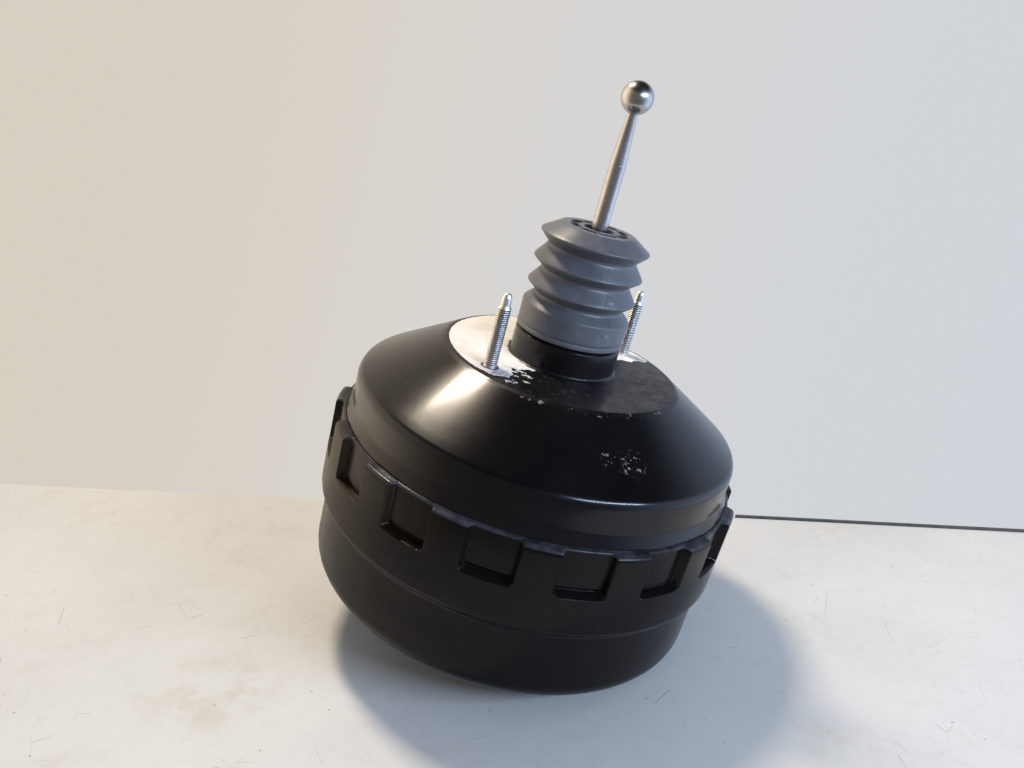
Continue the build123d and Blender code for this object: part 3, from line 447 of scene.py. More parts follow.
@cache
def paper():
    """Gasket paper, stained and worn to the glue at its torn ends, with purplish painted shade round the near
    stud.
    """
    f = Finish("paper")
    fibre = f.noise(420, 8, 0.75, f.stretch((1.0, 2.4, 1.0)))
    cloud = f.noise(48, 5, 0.6)
    torn = f.band(f.noise(150, 7, 0.75, warp=0.8), 0.47, 0.56)
    near_end = f.near((-30, -60, 0), 8, 34)
    ends = f.math("MAXIMUM", near_end, f.near((48, 50, 0), 6, 24))
    colour = f.mix(f.band(cloud, 0.3, 0.7), (0.78, 0.74, 0.68), f.tones.paper)
    worn = f.band(f.noise(60, 8, 0.7), 0.42, 0.66)
    colour = f.mix(f.product(worn, 0.22), colour, (0.44, 0.40, 0.36))
    # painted shade: a soft purplish shade round the near torn end and the near stud
    colour = f.mix(f.product(near_end, 0.35), colour, (0.46, 0.42, 0.48))
    smudge = f.product(ends, f.band(f.noise(95, 7, 0.75), 0.50, 0.62))
    colour = f.mix(f.product(smudge, 0.8), colour, (0.21, 0.18, 0.24))
    glue = f.product(ends, f.band(f.noise(230, 7, 0.78), 0.60, 0.66))
    glue = f.math("MAXIMUM", glue, f.near(NEAR_STUD, 5.2, 6.2))
    colour = f.mix(f.product(glue, 0.85), colour, (0.03, 0.026, 0.03))
    height = f.math("ADD", fibre, f.product(f.product(torn, ends), 2.0))
    f.set(Base_Color=colour, Roughness=0.92, Specular_IOR_Level=0.2, Normal=f.bump(height, 0.6, 0.25))
    return f.material


@cache
def floor_paint():
    """Pale floor with stains, hair scratches and specks of dirt."""
    f = Finish("floor_paint")
    cloud = f.noise(5, 6, 0.6)
    stain = f.band(f.noise(16, 9, 0.75, warp=0.5), 0.52, 0.72)
    dust = f.band(f.noise(95, 8, 0.8), 0.50, 0.68)
    hair = 0.0
    for scale, turn in ((15, (1.0, 2.6, 1.0)), (26, (2.2, 1.0, 1.0)), (41, (1.0, 1.5, 1.0))):
        line = f.band(f.cells(scale, f.stretch(turn), "DISTANCE_TO_EDGE"), 0.0045, 0.0)
        hair = f.math("MAXIMUM", f.product(line, f.band(f.noise(scale * 0.9, 3), 0.54, 0.60)), hair)
    speck = f.product(f.band(f.cells(75), 0.07, 0.04), f.band(f.noise(9, 2), 0.42, 0.52))
    colour = f.mix(f.band(cloud, 0.3, 0.7), (0.615, 0.61, 0.588), f.tones.floor)
    colour = f.mix(f.product(stain, 0.32), colour, (0.50, 0.44, 0.35))
    colour = f.mix(f.product(dust, 0.12), colour, (0.40, 0.37, 0.33))
    brown = f.product(f.near((-150, -120, -225), 10, 60), f.band(f.noise(40, 7, 0.7), 0.42, 0.66))
    colour = f.mix(f.product(brown, 0.35), colour, (0.42, 0.33, 0.18))
    colour = f.mix(f.product(hair, 0.5), colour, (0.22, 0.20, 0.18))
    colour = f.mix(f.product(speck, 0.6), colour, (0.20, 0.16, 0.12))
    f.set(Base_Color=colour, Roughness=f.band(cloud, 0.3, 0.7, 0.5, 0.62), Specular_IOR_Level=0.3)
    f.set(Normal=f.bump(f.noise(240, 4), 0.1, 0.2))
    return f.material


@cache
def gap_shade():
    """Painted shade: a dark strip for the gap at the floor's far edge."""
    f = Finish("gap_shade")
    f.set(Base_Color=f.mix(f.noise(120, 4), (0.03, 0.03, 0.031), (0.14, 0.13, 0.12)), Roughness=0.8)
    return f.material


def finish(slot):
    """The material of one of the record's slots."""
    if slot in METALS:
        return metal(slot)
    if slot in DULL:
        return dull(slot)
    return {"black_paint": black_paint, "grey_rubber": grey_rubber, "paper": paper}[slot]()


# ---------------------------------------------------------------- settings
ANGLE = {"subtype": "ANGLE", "unit": "ROTATION"}


class ShellSettings(bpy.types.PropertyGroup):
    neck_r: FloatProperty(
        name="Neck radius", description="Outside of the rear shell's neck, mm", default=34.0
    )
    neck_top: FloatProperty(
        name="Neck top", description="Top of the neck, inside the boot's cuff, mm", default=31.0
    )
    flat_r: FloatProperty(name="Flat radius", description="Edge of the mounting flat, mm", default=75.5)
    shoulder_r: FloatProperty(
        name="Shoulder radius", description="Rear shell where the cone ends, mm", default=124.5
    )
    shoulder_z: FloatProperty(
        name="Shoulder height", description="Where the cone ends, mm", default=-31.0
    )
    band_z: FloatProperty(
        name="Band height", description="Where the band under the shoulder ends, mm", default=-50.0
    )
    skirt_r: FloatProperty(
        name="Skirt radius", description="Rear shell inside the front shell's rim, mm", default=127.4
    )
    skirt_z: FloatProperty(
        name="Skirt height", description="Where the skirt steps out under the pockets, mm", default=-85.0
    )
    drum_r: FloatProperty(
        name="Drum radius", description="Outside of the front shell's rim, mm", default=134.5
    )
    rim_z: FloatProperty(
        name="Rim height", description="Ledge that is turned in over the rear shell, mm", default=-57.4
    )
    joggle_top: FloatProperty(
        name="Joggle top", description="Where the drum starts to narrow, mm", default=-109.0
    )
    lower_r: FloatProperty(
        name="Lower radius", description="Front shell below its joggle, mm", default=130.0
    )
    face_z: FloatProperty(name="Face", description="Height of the front shell's face, mm", default=-164.0)
    boss_r: FloatProperty(
        name="Boss radius", description="Raised boss under the master cylinder, mm", default=68.0
    )
    boss_h: FloatProperty(name="Boss height", description="Boss above the face, mm", default=8.0)
    pilot_r: FloatProperty(
        name="Pilot radius", description="Drawn hole for the master cylinder's spigot, mm", default=20.0
    )
    segments: IntProperty(name="Segments", description="Steps round a turned shell", default=288, min=24)


class PocketSettings(bpy.types.PropertyGroup):
    count: IntProperty(name="Pockets", description="Locking pockets round the rim", default=16, min=3)
    start: FloatProperty(name="Start", description="First pocket's angle", default=math.radians(-93), **ANGLE)
    half_width: FloatProperty(
        name="Half width", description="Side wall's middle from the pocket's, mm", default=14.35
    )
    depth: FloatProperty(name="Depth", description="From the drum to the pocket's floor, mm", default=4.9)
    wall: FloatProperty(
        name="Wall", description="Width of the pocket's rounded side wall, mm", default=2.6
    )
    bottom: FloatProperty(name="Bottom", description="Lanced lower edge, mm", default=-84.6)
    cut: FloatProperty(name="Cut", description="Height of the lanced edge's wall, mm", default=2.2)
    corner: FloatProperty(name="Corner", description="Rounding of the lower corners, mm", default=2.5)
    slot_depth: FloatProperty(
        name="Slot depth", description="Slot behind the floor's lanced edge, mm", default=1.6
    )


class BootSettings(bpy.types.PropertyGroup):
    cuff_r: FloatProperty(
        name="Cuff radius", description="Outside of the cuff on the neck, mm", default=34.1
    )
    cuff_bottom: FloatProperty(name="Cuff bottom", description="Lower edge of the cuff, mm", default=18.4)
    crest_r: FloatProperty(name="Crest radius", description="Outside of the bellows, mm", default=34.6)
    valley_r: FloatProperty(name="Valley radius", description="Bottom of the folds, mm", default=27.4)
    top_z: FloatProperty(name="Top height", description="Flat top of the boot, mm", default=86.0)
    hole_r: FloatProperty(name="Hole radius", description="Hole round the rod, mm", default=9.4)
    skin: FloatProperty(name="Skin", description="Thickness of the rubber, mm", default=1.8, min=0.5)
    slots: IntProperty(name="Slots", description="Breather slots round the rod", default=8, min=0)
    keep: FloatProperty(
        name="Keep", description="Share of its height left at full stroke", default=0.39, subtype="FACTOR"
    )


class ThreadSettings(bpy.types.PropertyGroup):
    major_r: FloatProperty(name="Major radius", description="Outside of the thread, mm", default=4.0)
    depth: FloatProperty(name="Depth", description="Depth of the thread, mm", default=0.72)
    pitch: FloatProperty(name="Pitch", description="Rise of one turn, mm", default=1.25, min=0.2)
    around: IntProperty(name="Steps", description="Steps round a thread", default=36, min=12)


class RodSettings(bpy.types.PropertyGroup):
    body_r: FloatProperty(name="Body radius", description="Rod through the boot, mm", default=5.0)
    socket_ball_r: FloatProperty(
        name="Inner ball", description="Ball in the plunger's socket, mm", default=5.3
    )
    ball_r: FloatProperty(name="Outer ball", description="Ball of the pedal's socket, mm", default=9.5)
    ball_z: FloatProperty(name="Ball height", description="Middle of the outer ball, mm", default=163.4)
    taper_z: FloatProperty(name="Taper", description="Where the rod starts to narrow, mm", default=124.7)
    tip_r: FloatProperty(name="Tip radius", description="Rod under the outer ball, mm", default=3.1)


class FinishSettings(bpy.types.PropertyGroup):
    paint: FloatVectorProperty(
        name="Paint", description="Shells' paint", default=(0.0062, 0.0054, 0.0058), subtype="COLOR"
    )
    dust: FloatVectorProperty(
        name="Dust", description="Dust on the drum", default=(0.046, 0.031, 0.015), subtype="COLOR"
    )
    boot: FloatVectorProperty(
        name="Boot", description="Boot's rubber", default=(0.100, 0.104, 0.120), subtype="COLOR"
    )
    paper: FloatVectorProperty(
        name="Paper", description="Gasket's paper", default=(0.86, 0.82, 0.77), subtype="COLOR"
    )
    floor: FloatVectorProperty(
        name="Floor", description="Floor's paint", default=(0.67, 0.665, 0.642), subtype="COLOR"
    )


class GasketSettings(bpy.types.PropertyGroup):
    start: FloatProperty(name="Start", description="Paper's first end", default=math.radians(38), **ANGLE)
    end: FloatProperty(name="End", description="Paper's other end", default=math.radians(249), **ANGLE)
    inner_r: FloatProperty(
        name="Inner radius", description="Paper's edge round the neck, mm", default=35.5
    )
    outer_r: FloatProperty(name="Outer radius", description="Paper's edge on the flat, mm", default=73.6)
    thickness: FloatProperty(name="Thickness", description="Thickness of the paper, mm", default=0.2)
    scraps: IntProperty(name="Scraps", description="Torn scraps by the near stud", default=20, min=0)
    seed: IntProperty(name="Seed", description="Start of the tear's noise", default=7)


class StageSettings(bpy.types.PropertyGroup):
    normal: FloatVectorProperty(
        name="Up", description="Floor's normal", default=(-0.2509, 0.031, 0.9675), subtype="DIRECTION"
    )
    drop: FloatProperty(name="Drop", description="Floor's distance from the origin, mm", default=-188.46)
    eye: FloatVectorProperty(name="Eye", description="Camera's place, mm", default=(0.0, -505.8, 170.5))
    lens: FloatProperty(name="Lens", description="Focal length", default=29.18, unit="CAMERA")
    roll: FloatProperty(name="Roll", description="Camera's roll", default=math.radians(15.159), **ANGLE)
    pitch: FloatProperty(name="Pitch", description="Camera's tilt", default=math.radians(21.231), **ANGLE)
    yaw: FloatProperty(name="Yaw", description="Camera's turn", default=math.radians(2.987), **ANGLE)
    key: FloatProperty(name="Key", description="Warm light's power", default=15.5, min=0, unit="POWER")
    fill: FloatProperty(name="Fill", description="Cool light's power", default=17.5, min=0, unit="POWER")
    ambient: FloatProperty(name="Ambient", description="Room's light", default=0.35, min=0)


# ---------------------------------------------------------------- operators
class BuildOperator:
    bl_options = {"REGISTER", "UNDO"}

    def execute(self, context):
        self.build(context.scene)
        return {"FINISHED"}


class BOOSTER_OT_rear_shell(BuildOperator, bpy.types.Operator):
    """Rear shell: neck, mounting flat, cone, band and the skirt that the pockets lock"""

    bl_idname = "booster.rear_shell"
    bl_label = "Rear shell"

    def build(self, scene):
        s = scene.booster_shell
        cuff_step, cuff_seat_z, lock_r = 2.0, 16.3, s.drum_r - SHELL_T - 0.3
        outer = rounded(
            [
                (s.neck_r - cuff_step, s.neck_top),
                (s.neck_r - cuff_step, cuff_seat_z + 1.6),
                (s.neck_r, cuff_seat_z),
                (s.neck_r, -PAPER_T),
                (s.flat_r, -PAPER_T),
                (s.shoulder_r, s.shoulder_z),
                (s.shoulder_r, s.band_z),
                (s.skirt_r, s.band_z - 6.5),
                (s.skirt_r, s.skirt_z),
                (lock_r, s.skirt_z - 5.2),
                (lock_r, s.joggle_top + 12.0),
            ],
            [0.8, 1.0, 2.0, 3.0, 7.0, 5.0, 3.0, 2.0, 2.0],
        )
        verts, faces = turned(sheet(divided(outer, 6.0), SHELL_T), s.segments)
        shell = make_object("rear_shell_skin", verts, faces, black_paint())
        place(shell, "shell", "black_paint", "rear_shell")


class BOOSTER_OT_front_shell(BuildOperator, bpy.types.Operator):
    """Front shell: turned-in rim with its lanced pockets, joggle, lower drum, boss and pilot hole"""

    bl_idname = "booster.front_shell"
    bl_label = "Front shell"

    def columns(self, p):
        """Angles round the shell, and their distance from the nearest pocket's middle.

        They lie close together where the pockets' side walls are.
        """
        half, edge, band = math.pi / p.count, p.half_width / POCKET_R, p.wall / POCKET_R
        outside, wall, floor = 5, 15, 12
        local = list(np.linspace(-half, -edge - band, outside)[:-1])
        local += list(np.linspace(-edge - band, -edge + band, wall))
        local += list(np.linspace(-edge + band, edge - band, floor)[1:-1])
        local += list(np.linspace(edge - band, edge + band, wall))
        local += list(np.linspace(edge + band, half, outside)[1:-1])
        return [(p.start + 2 * half * n + d, abs(d) * POCKET_R) for n in range(p.count) for d in local]

    def levels(self, p):
        """Heights down the drum, close together at the lance's slot and the pockets' lower edges."""
        slot = [-80.8, -81.1, -81.3, -81.42, -81.55, -81.75, -82.1, -82.5, -82.9, -83.25]
        edge = list(np.linspace(p.bottom + 1.1, p.bottom - 1.1, 13)) + [p.bottom - 1.3]
        return list(np.linspace(-63.0, -80.4, 15)) + slot + edge + [-86.6, -88.0, -90.0]

    def ledge(self, s, r, bend, turn):
        """The rim turned in from a radius of the drum, as points of one outline."""
        inner_r, bottom, steps = s.skirt_r + 0.3, -62.0, 20
        return spread(rounded([(inner_r, s.rim_z), (r, s.rim_z), (r, bottom)], [bend], turn), steps)

    def build(self, scene):
        s, p = scene.booster_shell, scene.booster_pocket
        rib, pan = self.ledge(s, s.drum_r, 3.5, 4.0), self.ledge(s, s.drum_r - p.depth, 1.75, 8.0)
        columns, levels = self.columns(p), self.levels(p)
        verts = []
        for (rib_r, rib_z), (pan_r, pan_z) in zip(rib, pan):
            for angle, x in columns:
                t = self.pocket(p, x, -70.0)
                r, z = rib_r + (pan_r - rib_r) * t, rib_z + (pan_z - rib_z) * t
                verts.append((r * math.cos(angle), r * math.sin(angle), z))
        for z in levels:
            for angle, x in columns:
                slot = ease(z, -81.2, -81.6) * (1 - ease(x, p.half_width - 2.2, p.half_width - 1.5))
                r = s.drum_r - (p.depth + p.slot_depth * slot) * self.pocket(p, x, z)
                verts.append((r * math.cos(angle), r * math.sin(angle), z))
        outer = rounded(
            [
                (s.drum_r, -93.0),
                (s.drum_r, s.joggle_top),
                (s.lower_r, s.joggle_top - 5.0),
                (s.lower_r, s.face_z),
                (s.boss_r + 10.0, s.face_z),
                (s.boss_r, s.face_z - s.boss_h),
                (s.pilot_r, s.face_z - s.boss_h),
                (s.pilot_r, s.face_z + 1.0),
            ],
            [4.0, 5.0, 14.0, 6.0, 6.0, 2.0],
            7.0,
        )
        rows = divided(outer, 12.0)
        for r, z in rows:
            verts += [(r * math.cos(angle), r * math.sin(angle), z) for angle, _ in columns]
        faces = grid_faces(len(rib) + len(levels) + len(rows), len(columns))
        inside = sheet(rows, SHELL_T)[len(rows) :]
        lip = [(s.pilot_r + dr, s.face_z + dz) for dr, dz in ((0.0, 1.0), (0.6, 1.2), (1.6, 1.0))]
        for section in (inside, lip):
            points, more = turned(section, 144, closed=False)
            faces += [[v + len(verts) for v in face] for face in more]
            verts += points
        shell = make_object("front_shell_skin", verts, faces, black_paint("drum_paint", 0.08, 0.14))
        place(shell, "shell", "black_paint", "front_shell")

    def pocket(self, p, x, z):
        """How far into a pocket a point lies, from 0 on the rib to 1 on the floor."""
        qx, qz = x - p.half_width + p.corner, p.bottom + p.corner - z
        if qx > 0 and qz > 0:
            gap, cut_share = math.hypot(qx, qz) - p.corner, qz * qz / (qx * qx + qz * qz)
        else:
            gap, cut_share = max(qx, qz) - p.corner, float(qz > qx)
        half = (p.wall + (p.cut - p.wall) * cut_share) / 2
        return 1 - ease(gap, -half, half)


class BOOSTER_OT_dust_boot(BuildOperator, bpy.types.Operator):
    """Dust boot: a cuff on the neck and a bellows round the rod"""

    bl_idname = "booster.dust_boot"
    bl_label = "Dust boot"

    def build(self, scene):
        b = scene.booster_boot
        c, v = b.crest_r, b.valley_r
        outline = rounded(
            [
                (b.cuff_r - 2.05, b.cuff_bottom),
                (b.cuff_r, b.cuff_bottom),
                (b.cuff_r, b.cuff_bottom + 2.2),
                (b.cuff_r - 0.65, b.cuff_bottom + 2.8),
                (b.cuff_r - 0.65, b.cuff_bottom + 3.6),
                (b.cuff_r - 0.1, b.cuff_bottom + 4.3),
                (b.cuff_r, CUFF_TOP),
            ],
            [0.7, 0.35, 0.3, 0.3, 0.5],
            15.0,
        )
        section = divided(outline, 3.0) + [(b.cuff_r - 1.9, CUFF_TOP)]
        cuff = make_object("dust_boot_cuff", *turned(section, 192), grey_rubber())
        place(cuff, "shell", "grey_rubber", "dust_boot")
        folds = rounded(
            [
                (b.cuff_r, CUFF_TOP),
                (b.cuff_r - 0.1, CUFF_TOP + 1.2),
                (v, 41.0),
                (c, 46.7),
                (v, 56.5),
                (c, 62.1),
                (v, 71.5),
                (c, 78.7),
                (23.2, b.top_z),
                (b.hole_r, b.top_z),
            ],
            [0.9, 2.2, 1.0, 2.2, 1.0, 2.2, 1.0, 1.2],
            12.0,
        )
        verts, faces = turned(sheet(divided(folds, 2.5), -b.skin), 192)
        bellows = make_object("dust_boot_bellows", verts, faces, grey_rubber())
        if b.slots:
            cut(bellows, self.slot_cutter(b))
        place(bellows, "shell", "grey_rubber", "dust_boot")
        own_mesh(bellows)

    def slot_cutter(self, b):
        """Curved slots with rounded ends, through the top of the boot."""
        half, mid_r, end_r = math.radians(11.0), 15.6, 2.7
        reach = b.skin + 2.2
        verts, faces = [], []
        for n in range(b.slots):
            a = 2 * math.pi * (n + 0.5) / b.slots
            loop = []
            for side in (1, -1):
                r = mid_r + side * end_r
                for t in np.linspace(a - side * half, a + side * half, 9):
                    loop.append((r * math.cos(t), r * math.sin(t)))
                end = a + side * half
                for u in np.linspace(0, math.pi, 7)[1:-1]:
                    x, y = mid_r + side * end_r * math.cos(u), side * end_r * math.sin(u)
                    x, y = x * math.cos(end) - y * math.sin(end), x * math.sin(end) + y * math.cos(end)
                    loop.append((x, y))
            base, m = len(verts), len(loop)
            verts += [(x, y, z) for z in (b.top_z - reach, b.top_z + 2.0) for x, y in loop]
            faces += [face[::-1] for face in grid_faces(2, m, start=base)]
            faces += [list(range(base + m - 1, base - 1, -1)), list(range(base + m, base + 2 * m))]
        return make_object("slot_cutter", verts, faces, grey_rubber())


class BOOSTER_OT_studs(BuildOperator, bpy.types.Operator):
    """Studs: helical threads, with a dog point on the rear pair and a chamfered end on the front pair"""

    bl_idname = "booster.studs"
    bl_label = "Studs"

    def plain(self, points):
        """Rows (radius, height, thread's share) without a thread."""
        return [(r, z, 0.0) for r, z in points]

    def thread(self, t, z0, z1):
        """Rows of a thread that runs out at both ends."""
        run_in, run_out = 1.2, 0.9
        heights = np.arange(z0, z1, t.pitch / 10)
        return [(t.major_r, z, min(1.0, (z - z0) / run_in, (z1 - z) / run_out)) for z in heights]

    def stud(self, name, place_mm, rows, t, up):
        """One stud from its rows; up is -1 for a stud that points down."""
        x, y, foot = place_mm
        verts = []
        for r, z, share in rows:
            for k in range(t.around):
                a = 2 * math.pi * k / t.around
                wave = 0.5 - 0.5 * math.cos(2 * math.pi * z / t.pitch - a)
                reach = r - share * t.depth * (1 - min(1.0, wave * 1.25))
                verts.append((x + reach * math.cos(a), y + reach * math.sin(a), foot + up * z))
        faces = grid_faces(len(rows), t.around)
        last = (len(rows) - 1) * t.around
        faces += [list(range(t.around - 1, -1, -1)), list(range(last, last + t.around))]
        if up < 0:
            faces = [list(reversed(face)) for face in faces]
        return make_object(name, verts, faces, stud_zinc(), math.radians(60))

    def build(self, scene):
        t = scene.booster_thread
        head_r, shank_r, core_r = 7.5, 4.2, 3.4
        head = [(head_r - 0.6, 0.0), (head_r, 0.5), (head_r, 3.3), (head_r - 0.2, 3.5)]
        head += [(shank_r, 3.5), (shank_r, 7.55)]
        dog = [(3.35, 45.3), (2.95, 45.8), (2.9, 46.3), (2.9, 50.2), (2.7, 51.0), (2.1, 52.7)]
        dog += [(1.7, 53.1), (0.9, 53.25)]
        chamfer = [(3.3, 28.3), (2.8, 28.9)]
        rear = self.plain(head + [(core_r, 7.6)]) + self.thread(t, 7.75, 44.6) + self.plain(dog)
        front = self.plain(head + [(core_r, 7.65)]) + self.thread(t, 7.8, 27.7) + self.plain(chamfer)
        rear_z, front_z = -7.85, scene.booster_shell.face_z - 0.4
        pairs = (("rear", REAR_STUDS, rear_z, rear, 1), ("front", FRONT_STUDS, front_z, front, -1))
        for end, places, z, rows, up in pairs:
            for n, (x, y) in enumerate(places):
                stud = self.stud(f"{end}_stud_{n + 1}", (x, y, z), rows, t, up)
                place(stud, "shell", "zinc_steel", f"{end}_studs")


class BOOSTER_OT_input_rod(BuildOperator, bpy.types.Operator):
    """Input rod: inner ball, turned collar, taper and the ground outer ball"""

    bl_idname = "booster.input_rod"
    bl_label = "Input rod"

    def build(self, scene):
        s = scene.booster_rod
        socket_z, neck_r, root_r = 4.0, 3.6, 3.5
        collar_r, collar_z = 6.6, 59.9
        section = []
        for t in np.linspace(0, 2.3, 24):
            section.append((s.socket_ball_r * math.sin(t), socket_z - s.socket_ball_r * math.cos(t)))
        section += rounded(
            [
                (neck_r, 9.5),
                (neck_r, 14.0),
                (s.body_r, 16.0),
                (s.body_r, collar_z),
                (collar_r - 0.2, collar_z),
                (collar_r, collar_z + 0.3),
                (collar_r, collar_z + 1.8),
            ],
            [1.0, 1.0, 0.2, 0.15, 0.1],
        )
        section += rounded(
            [
                (collar_r - 0.2, collar_z + 2.0),
                (s.body_r, collar_z + 2.0),
                (s.body_r, s.taper_z),
                (s.body_r - 0.08, s.taper_z + 0.4),
                (s.tip_r, s.ball_z - 9.8),
            ],
            [0.3, 0.2, 0.2],
        )
        section += [(s.tip_r, s.ball_z - 9.1)]
        bottom = math.pi - math.asin(root_r / s.ball_r)
        for t in np.linspace(bottom, 0, 60):
            section.append((s.ball_r * math.sin(t), s.ball_z + s.ball_r * math.cos(t)))
        verts, faces = turned(divided(section, 4.0), 96, closed=False)
        rod = make_object("input_rod_turned", verts, faces, metal("bright_steel"), math.radians(25))
        place(rod, "input_rod", "bright_steel", "input_rod")


class BOOSTER_OT_gasket(BuildOperator, bpy.types.Operator):
    """Paper gasket: what is left of it, torn at both ends, with shreds by the near stud"""

    bl_idname = "booster.gasket"
    bl_label = "Paper gasket"

    columns, rows = 300, 72
    short_at = (0.0, 0.07, 0.3, 0.38, 0.56, 0.8, 0.93, 1.0)
    short_by = (-25, -1, -5, -11, -6, -3, -6, -11)

    def tear(self, g, v, end):
        """How far a torn end strays from its angle, at a share of the paper's width."""
        coarse = noise.fractal(Vector((v * 6, g.seed + end, 0)), 1.0, 2.0, 6)
        fine = noise.fractal(Vector((v * 26, g.seed + end, 3)), 0.8, 2.0, 3)
        return 0.055 * coarse + 0.012 * fine

    def build(self, scene):
        g = scene.booster_gasket
        verts = []
        for v in np.linspace(0.0, 1.0, self.rows):
            short = math.radians(float(np.interp(v, self.short_at, self.short_by)))
            first, last = g.start + self.tear(g, v, 1.3), g.end + self.tear(g, v, 5.1) + short
            for u in np.linspace(0.0, 1.0, self.columns):
                a = first + (last - first) * u
                point = Vector((math.cos(a) * 9, math.sin(a) * 9, g.seed))
                inner = g.inner_r + 0.8 * noise.fractal(point, 1.0, 2.0, 4)
                ragged = abs(noise.fractal(point * 1.7, 1.0, 2.0, 4))
                outer = g.outer_r - 0.5 * ragged - 1.2 * ease(u, 0.95, 1.0)
                r = inner + (outer - inner) * v
                lift = 0.9 * ease(u, 0.955, 1.0) * abs(noise.noise(Vector((r * 0.25, a * 12, 2.0))))
                verts.append((r * math.cos(a), r * math.sin(a), lift - 0.02))
        torn = grid_faces(self.rows, self.columns, False)
        pieces = (("paper_gasket_torn", verts, torn), ("paper_shreds", *self.shreds(g)))
        for name, points, faces in pieces:
            obj = make_object(name, points, faces, paper())
            modifier = obj.modifiers.new("paper", "SOLIDIFY")
            modifier.thickness = g.thickness * MM
            modifier.offset = -1
            place(obj, "shell", "paper", "paper_gasket")

    def shreds(self, g):
        """Small torn scraps round the near stud."""
        rng = np.random.default_rng(g.seed)
        corners = 9
        verts, faces = [], []
        for _ in range(g.scraps):
            a = math.radians(rng.uniform(236, 256))
            r = rng.uniform(47, 72)
            size = rng.uniform(0.6, 2.2)
            turn = rng.uniform(0, 6.28)
            base = len(verts)
            for k in range(corners):
                t = turn + 2 * math.pi * k / corners
                reach = size * rng.uniform(0.45, 1.0)
                x = r * math.cos(a) + reach * math.cos(t) * 1.5
                y = r * math.sin(a) + reach * math.sin(t) * 0.7
                verts.append((x, y, -0.05 + rng.uniform(0, 0.35)))
            faces.append(list(range(base, base + corners)))
        return verts, faces


class BOOSTER_OT_inner_finishes(BuildOperator, bpy.types.Operator):
    """Materials of the pieces whose solids show as they are"""

    bl_idname = "booster.inner_finishes"
    bl_label = "Inner finishes"

    def build(self, scene):
        slots = {row["node"]: row["material_slot"] for row in frame["record"]["subparts"]}
        for name, obj in frame["nodes"].items():
            if name not in slots:
                raise RuntimeError(f"{name} has no material slot")
            material = finish(slots[name])
            if not obj.material_slots:
                obj.data.materials.append(material)
            for slot in obj.material_slots:
                slot.material = material


